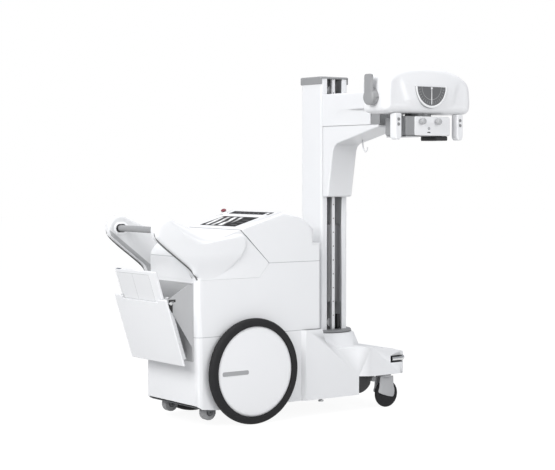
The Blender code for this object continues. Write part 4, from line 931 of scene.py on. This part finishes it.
middle = smooth_line(np.array([
    (-0.319, 0.800), (-0.319, 0.845), (-0.311, 0.872), (-0.288, 0.899), (-0.240, 0.929), (-0.170, 0.951),
    (-0.060, 0.9835),
]), 5, closed=False)
middle = np.vstack([[(-0.319, FOOT_Z), (-0.319, 0.770)], middle, [(0.119, 0.812), (0.060, FOOT_Z)]])
half_stations = np.array([0.212, 0.224, 0.232, 0.238, 0.242, 0.2442, SIDE])
stations = np.concatenate([-half_stations[::-1], half_stations])
rings = np.array([at_depth(middle, y) for y in stations])
rings[..., 0] = np.maximum(rings[..., 0], rear_limit(rings[..., 1]))
closed_tube("handle_cover_core", place(rings), "chassis", cover_white, ["handle_cover"])

nose_angle = np.radians(np.linspace(222, 66, 9))
nose = np.column_stack([BAR_X + NOSE_R * np.cos(nose_angle), BAR_Z + NOSE_R * np.sin(nose_angle),
                        np.full(9, 0.024)])
lobe_outline = smooth_line(np.array([
    (-0.3155, 0.7440, 0.002), (-0.334, 0.768, 0.006), (-0.354, 0.799, 0.012), (-0.415, 0.846, 0.018),
    (-0.480, 0.895, 0.019), *nose.tolist(), (-0.415, 1.025, 0.033), (-0.350, 0.998, 0.038),
    (-0.290, 0.976, 0.040), (-0.220, 0.962, 0.036), (-0.140, 0.960, 0.026), (-0.085, 0.965, 0.015),
    (-0.045, 0.958, 0.0115), (-0.026, 0.930, 0.0106), (-0.032, 0.890, 0.0100), (-0.058, 0.850, 0.0090),
    (-0.098, 0.812, 0.0070), (-0.145, 0.780, 0.0045), (-0.205, 0.755, 0.0020), (-0.265, 0.7445, 0.0020),
]), 5)


def outer_side(z):
    """The lobe stands 11 mm proud of the cabinet's side and runs out into it at its foot."""
    return SIDE + 0.0006 + 0.0108 * smooth_step(z, 0.752, 0.870)


def handle_lobe(name, side):
    """One arm, rounded by each outline point's third value, and the strip along its underside."""
    outline, soft = lobe_outline[:, :2], lobe_outline[:, 2]
    angle = np.linspace(0, np.pi / 2, 9)
    inner = np.minimum(soft, 0.014)
    rings = [at_depth(inset(outline, inner * (1 - np.cos(a))), ARM_IN + inner * (1 - np.sin(a)))
             for a in angle[::-1]]
    fall = 0.16 * soft
    outer = [at_depth(inset(outline, soft * (1 - np.cos(a))),
                      outer_side(outline[:, 1]) - fall - soft * (1 - np.sin(a))) for a in angle]
    face = shrunk(outer[-1], lambda x, z, share: outer_side(z) - fall * share**3,
                  np.linspace(0.03, 1, 24, endpoint=False))
    rings = np.array(rings + outer + face[::-1])
    free = 0.40 * smooth_step(rings[..., 2], 0.744, 0.900)
    rings[..., 0] = np.maximum(rings[..., 0], rear_limit(rings[..., 1]) - free)
    closed_tube(f"handle_lobe_{name}", place(rings * [1, side, 1]), "chassis", lobe_white)
    strip = smooth_line(np.array([
        (-0.3115, 0.742), (-0.3285, 0.766), (-0.3555, 0.797), (-0.415, 0.8435), (-0.480, 0.892),
        (-0.533, 0.936), (-0.5525, 0.962), (-0.5572, 0.982),
    ]), 6, closed=False)
    sweep(f"lobe_trim_{name}", at_depth(strip, side * 0.2325), 0.0038, (0, 1, 0), "chassis",
          dark_trim, sides=12)


for name, side in (("right", -1), ("left", 1)):
    handle_lobe(name, side)
print("handle cover made")

# %% Openings for the push bar
def stadium(centre, half_length, radius, count=48):
    """An oval with straight sides: circle points pushed apart by the straight part."""
    turn = np.linspace(0, 2 * np.pi, count, endpoint=False) + 1e-4
    x = centre[0] + half_length * np.sign(np.cos(turn)) + radius * np.cos(turn)
    return np.column_stack([x, centre[1] + radius * np.sin(turn)])


for name, side in (("right", -1), ("left", 1)):
    oval = stadium((BAR_X + 0.004, BAR_Z), 0.009, 0.0215)
    # Painted shade: the black oval stands for the shaded opening where the bar enters the arm.
    for label, grow, finish, reach in (("ring", 0.011, plain_white, 0.1935),
                                       ("hole_shade", 0.0, black_plastic, 0.1926)):
        shape = inset(oval, -grow)
        low, high = sorted((side * reach, side * 0.2000))
        pillow(f"bar_{label}_{name}", shape, low, high, 0.0006, 0.0006, "chassis", finish, steps=3)
print("openings made")

# %% [markdown]
# ## Bumper tube
#
# A polished tube runs round the nose. Its path is straight at the sides and front, with a circular
# bend between them, and a round section is carried along it.

# %% Bumper
corner = np.radians(np.linspace(0, 90, 13))
bend, tube_x, tube_y = 0.055, 1.012, 0.283
half_path = np.column_stack([tube_x - bend + bend * np.cos(corner), tube_y - bend + bend * np.sin(corner)])
half_path = np.vstack([half_path, [(0.93, tube_y), (0.905, tube_y)]])
plan = np.vstack([half_path[::-1], half_path * [1, -1]])
path = np.column_stack([plan, np.full(len(plan), BUMPER_Z)])
sweep("bumper_tube", path, 0.0158, (0, 0, 1), "bumper", polished_steel, ["bumper_bar"], 28)
print("bumper swept")

# %% [markdown]
# ## Head
#
# The tube head is the machine's softest form: nearly flat below, arched above, with full ends and
# a front that bulges slightly. The same pillow is used with a large rounding. Its front carries a
# raised field, wide above and narrow below, whose soft borders catch the light beside the scale.

# %% Head shell
head_outline = smooth_line(np.array([
    (0.955, 1.650), (0.956, 1.615), (0.948, 1.583), (0.925, 1.568), (0.870, 1.5655), (0.668, 1.5655),
    (0.470, 1.5655), (0.415, 1.567), (0.388, 1.580), (0.380, 1.612), (0.3795, 1.665), (0.386, 1.722),
    (0.410, 1.754), (0.462, 1.778), (0.560, 1.795), (0.668, 1.799), (0.770, 1.791), (0.868, 1.765),
    (0.925, 1.735), (0.948, 1.700),
]), 7)


def head_face(x, z, share):
    """A shallow crown, and a step of 7 mm outside the raised field."""
    half = 0.118 + 0.42 * (z - 1.580)
    outside = smooth_step(np.abs(x - COLUMN_X), half - 0.004, half + 0.034)
    return 0.010 * share**2 + 0.007 * outside * (1 - share**6)


pillow("tube_head", head_outline, HEAD_FRONT, HEAD_BACK, 0.036, 0.028, "head", shell_white,
       ["head_shell"], head_face)
EAR_SHIFT, EAR_HALF = 0.0596, 0.0148
for label, x in (("a", COLUMN_X - EAR_SHIFT), ("b", COLUMN_X + EAR_SHIFT)):
    turn = np.linspace(0, np.pi, 25)
    side_view = np.vstack([
        [(-0.672, TILT_Z - 0.0245)],
        np.column_stack([-0.615 + 0.0262 * np.sin(turn), TILT_Z - 0.0262 * np.cos(turn)]),
        [(-0.672, TILT_Z + 0.0245)],
    ])
    rings = np.array([np.column_stack([np.full(len(side_view), edge), side_view])
                      for edge in (x - EAR_HALF, x + EAR_HALF)])
    closed_tube(f"head_ear_{label}", place(rings), "head", light_grey)
print("head made")

# %% Dial
DIAL_R = 0.0945
turn = np.radians(np.linspace(180, 360, 49))
half_round = np.column_stack([COLUMN_X + DIAL_R * np.cos(turn), DIAL_Z + DIAL_R * np.sin(turn)])
faces = [at_depth(half_round, HEAD_FRONT + depth) for depth in (-0.0022, 0.010)]
closed_tube("dial_scale", place(faces), "head", dial_face, ["dial_plate"])
section = np.array([(0.0940, -0.010), (0.0940, 0.0030), (0.0960, 0.0048), (0.1035, 0.0048), (0.1058, 0.0032),
                    (0.1062, -0.010)])
ring_x = COLUMN_X + section[None, :, 0] * np.cos(turn)[:, None]
ring_z = DIAL_Z + section[None, :, 0] * np.sin(turn)[:, None]
ring_y = np.broadcast_to(HEAD_FRONT - section[None, :, 1], ring_x.shape)
closed_tube("dial_rim", place(np.stack([ring_x, ring_y, ring_z], -1)), "head", dial_rim_white)
print("dial made")

# %% [markdown]
# ## Collimator front
#
# A white panel stands on the collimator's front. Two fluted knobs on short stems open and close
# the lead blades. Each flute is a wave in the knob's radius, and the knob tapers a little towards
# its crowned end. A thin rail lies along the collimator's lower left edge.


# %% Panel and field knobs
COLLIMATOR_FRONT = -0.840
KNOB_Z, KNOB_SHIFT = 1.527, 0.052


def rounded_panel(x0, x1, z0, z1, radius, count=48):
    """A rectangle with round corners: circle points pushed out to the four corners."""
    turn = np.linspace(0, 2 * np.pi, count, endpoint=False) + 1e-4
    out, up = (x1 - x0) / 2 - radius, (z1 - z0) / 2 - radius
    return np.column_stack([(x0 + x1) / 2 + out * np.sign(np.cos(turn)) + radius * np.cos(turn),
                            (z0 + z1) / 2 + up * np.sign(np.sin(turn)) + radius * np.sin(turn)])


shape = rounded_panel(COLUMN_X - 0.093, COLUMN_X + 0.128, COLLIMATOR_LOW + 0.002,
                      COLLIMATOR_LOW + 0.0965, 0.010)
pillow("collimator_panel", shape, -0.8432, -0.8370, 0.0028, 0.001, "collimator", panel_white)
shape = rounded_panel(COLUMN_X - 0.148, COLUMN_X - 0.060, COLLIMATOR_LOW - 0.0065,
                      COLLIMATOR_LOW - 0.0008, 0.0025)
pillow("collimator_rail", shape, -0.838, -0.690, 0.001, 0.001, "collimator", light_grey, steps=3)


def knob(name, x, z, body, replaced):
    """A stem and a tapered grip; the grip's radius dips at each of its ten flutes."""
    turn = np.linspace(0, 2 * np.pi, 144, endpoint=False)
    flute = 1 - 0.07 * np.abs(np.sin(turn * 5)) ** 0.6
    steps = np.array([(0.0085, 0.0006), (0.0085, 0.0105), (0.0160, 0.0120), (0.0166, 0.0140), (0.0164, 0.024),
                      (0.0152, 0.0275), (0.0120, 0.0294), (0.006, 0.0300)])
    fluted = (steps[:, 1, None] > 0.011) & (steps[:, 1, None] < 0.028)
    radius = steps[:, 0, None] * np.where(fluted, flute, 1)
    px = x + radius * np.cos(turn)
    pz = z + radius * np.sin(turn)
    py = np.broadcast_to(COLLIMATOR_FRONT - steps[:, 1, None], px.shape)
    closed_tube(name, place(np.stack([px, py, pz], -1)), body, light_grey, [replaced])


knob("blade_knob_left", COLUMN_X - KNOB_SHIFT, KNOB_Z, "knob_left", "field_knob_left")
knob("blade_knob_right", COLUMN_X + KNOB_SHIFT, KNOB_Z, "knob_right", "field_knob_right")
print("collimator front made")

# %% [markdown]
# ## Small metal parts
#
# A bright pin head stands in each stay's slot. In the column's foot a dark stop lies beside the
# rail.

# %% Pin heads and stop
PIN_HEAD = [(0.0005, 0.0102), (0.0070, 0.0102), (0.0084, 0.0088), (0.0084, 0.0002), (0.0005, 0.0002)]
for name, side in (("right", -1), ("left", 1)):
    revolve(f"pin_head_{name}", PIN_HEAD, (-0.4549, side * 0.2098, 0.6314), (0, side, 0), "bin",
            polished_steel, steps=40)
block = rounded_panel(COLUMN_X + 0.0295, COLUMN_X + 0.0455, 0.4256, 0.5050, 0.002)
pillow("column_stop", block, -0.080, -0.060, 0.001, 0.001, "column", black_plastic, steps=3)
print("small metal parts made")

# %% [markdown]
# ## Camera, floor and light
#
# The camera's place was fitted to the photograph: about 1.3 m high and seven and a half metres
# away, with a long lens. A broad soft lamp stands behind the machine and a little to its right, a
# weaker one faces the side that the camera sees, and a third hangs above.

# %% Camera
eye = place((-4.329, -6.373, 1.276))
dip = math.radians(2.43)
aim = Vector((0.592 * math.cos(dip), 0.806 * math.cos(dip), -math.sin(dip)))
camera = bpy.data.objects.new("camera", bpy.data.cameras.new("camera"))
camera.data.lens = 96.39
camera.data.sensor_width = 36.0
camera.location = eye
camera.rotation_mode = "QUATERNION"
camera.rotation_quaternion = aim.to_track_quat("-Z", "Y")
camera.data.clip_end = 100
bpy.context.scene.collection.objects.link(camera)
bpy.context.scene.camera = camera

# %% Floor, world and lamps
FLOOR_HALF = 30.0
GLOW, GLOW_SHARE, SKY_STRENGTH = 1.285, 0.72, 0.53

floor_mesh = bpy.data.meshes.new("floor")
corners = [(x * FLOOR_HALF, y * FLOOR_HALF, 0) for x, y in ((-1, -1), (1, -1), (1, 1), (-1, 1))]
floor_mesh.from_pydata(corners, [], [(0, 1, 2, 3)])
floor = bpy.data.objects.new("floor", floor_mesh)
bpy.context.scene.collection.objects.link(floor)
floor_paint = Finish("floor_paint", (0.5, 0.5, 0.5), 0.9)
rays = floor_paint.add("ShaderNodeLightPath", {}, {})
seen = rays.value("Is Camera Ray").most(rays.value("Is Glossy Ray"))
glow = floor_paint.add("ShaderNodeEmission", {}, {"Color": (1, 1, 1, 1), "Strength": GLOW}).colour()
blend = floor_paint.add("ShaderNodeMixShader", {},
                        {0: seen * GLOW_SHARE, 1: floor_paint.shader.outputs[0], 2: glow})
output = next(n for n in floor_paint.tree.nodes if n.type == "OUTPUT_MATERIAL")
floor_paint.tree.links.new(blend.colour(), output.inputs[0])
floor_mesh.materials.append(floor_paint.material)

world = bpy.data.worlds.new("studio")
bpy.context.scene.world = world
world.use_nodes = True
sky = world.node_tree
background = sky.nodes["Background"]
path_node = sky.nodes.new("ShaderNodeLightPath")
plain = sky.nodes.new("ShaderNodeBackground")
plain.inputs["Color"].default_value = (1, 1, 1, 1)
plain.inputs["Strength"].default_value = 1.0
background.inputs["Color"].default_value = (0.93, 0.95, 1.0, 1)
background.inputs["Strength"].default_value = SKY_STRENGTH
chosen = sky.nodes.new("ShaderNodeMixShader")
sky.links.new(path_node.outputs["Is Camera Ray"], chosen.inputs[0])
sky.links.new(background.outputs[0], chosen.inputs[1])
sky.links.new(plain.outputs[0], chosen.inputs[2])
sky.links.new(chosen.outputs[0], sky.nodes["World Output"].inputs[0])


def lamp(name, spot, target, size, power):
    """A square soft lamp at a spot, turned towards its target."""
    made = bpy.data.objects.new(name, bpy.data.lights.new(name, "AREA"))
    made.data.size = size
    made.data.energy = power
    made.location = spot
    made.rotation_mode = "QUATERNION"
    made.rotation_quaternion = (Vector(target) - Vector(spot)).to_track_quat("-Z", "Y")
    bpy.context.scene.collection.objects.link(made)
    return made


lamp("key", (-4.2, -1.2, 3.2), (0, 0, 0.9), 2.6, 180)
lamp("front_fill", (0.5, -5.5, 2.6), (0, 0, 0.9), 3.0, 115)
lamp("top", (0.5, 0.3, 4.6), (0, 0, 0.5), 2.6, 76)
bpy.context.scene.view_settings.view_transform = "Standard"
print("camera, floor and lamps set")
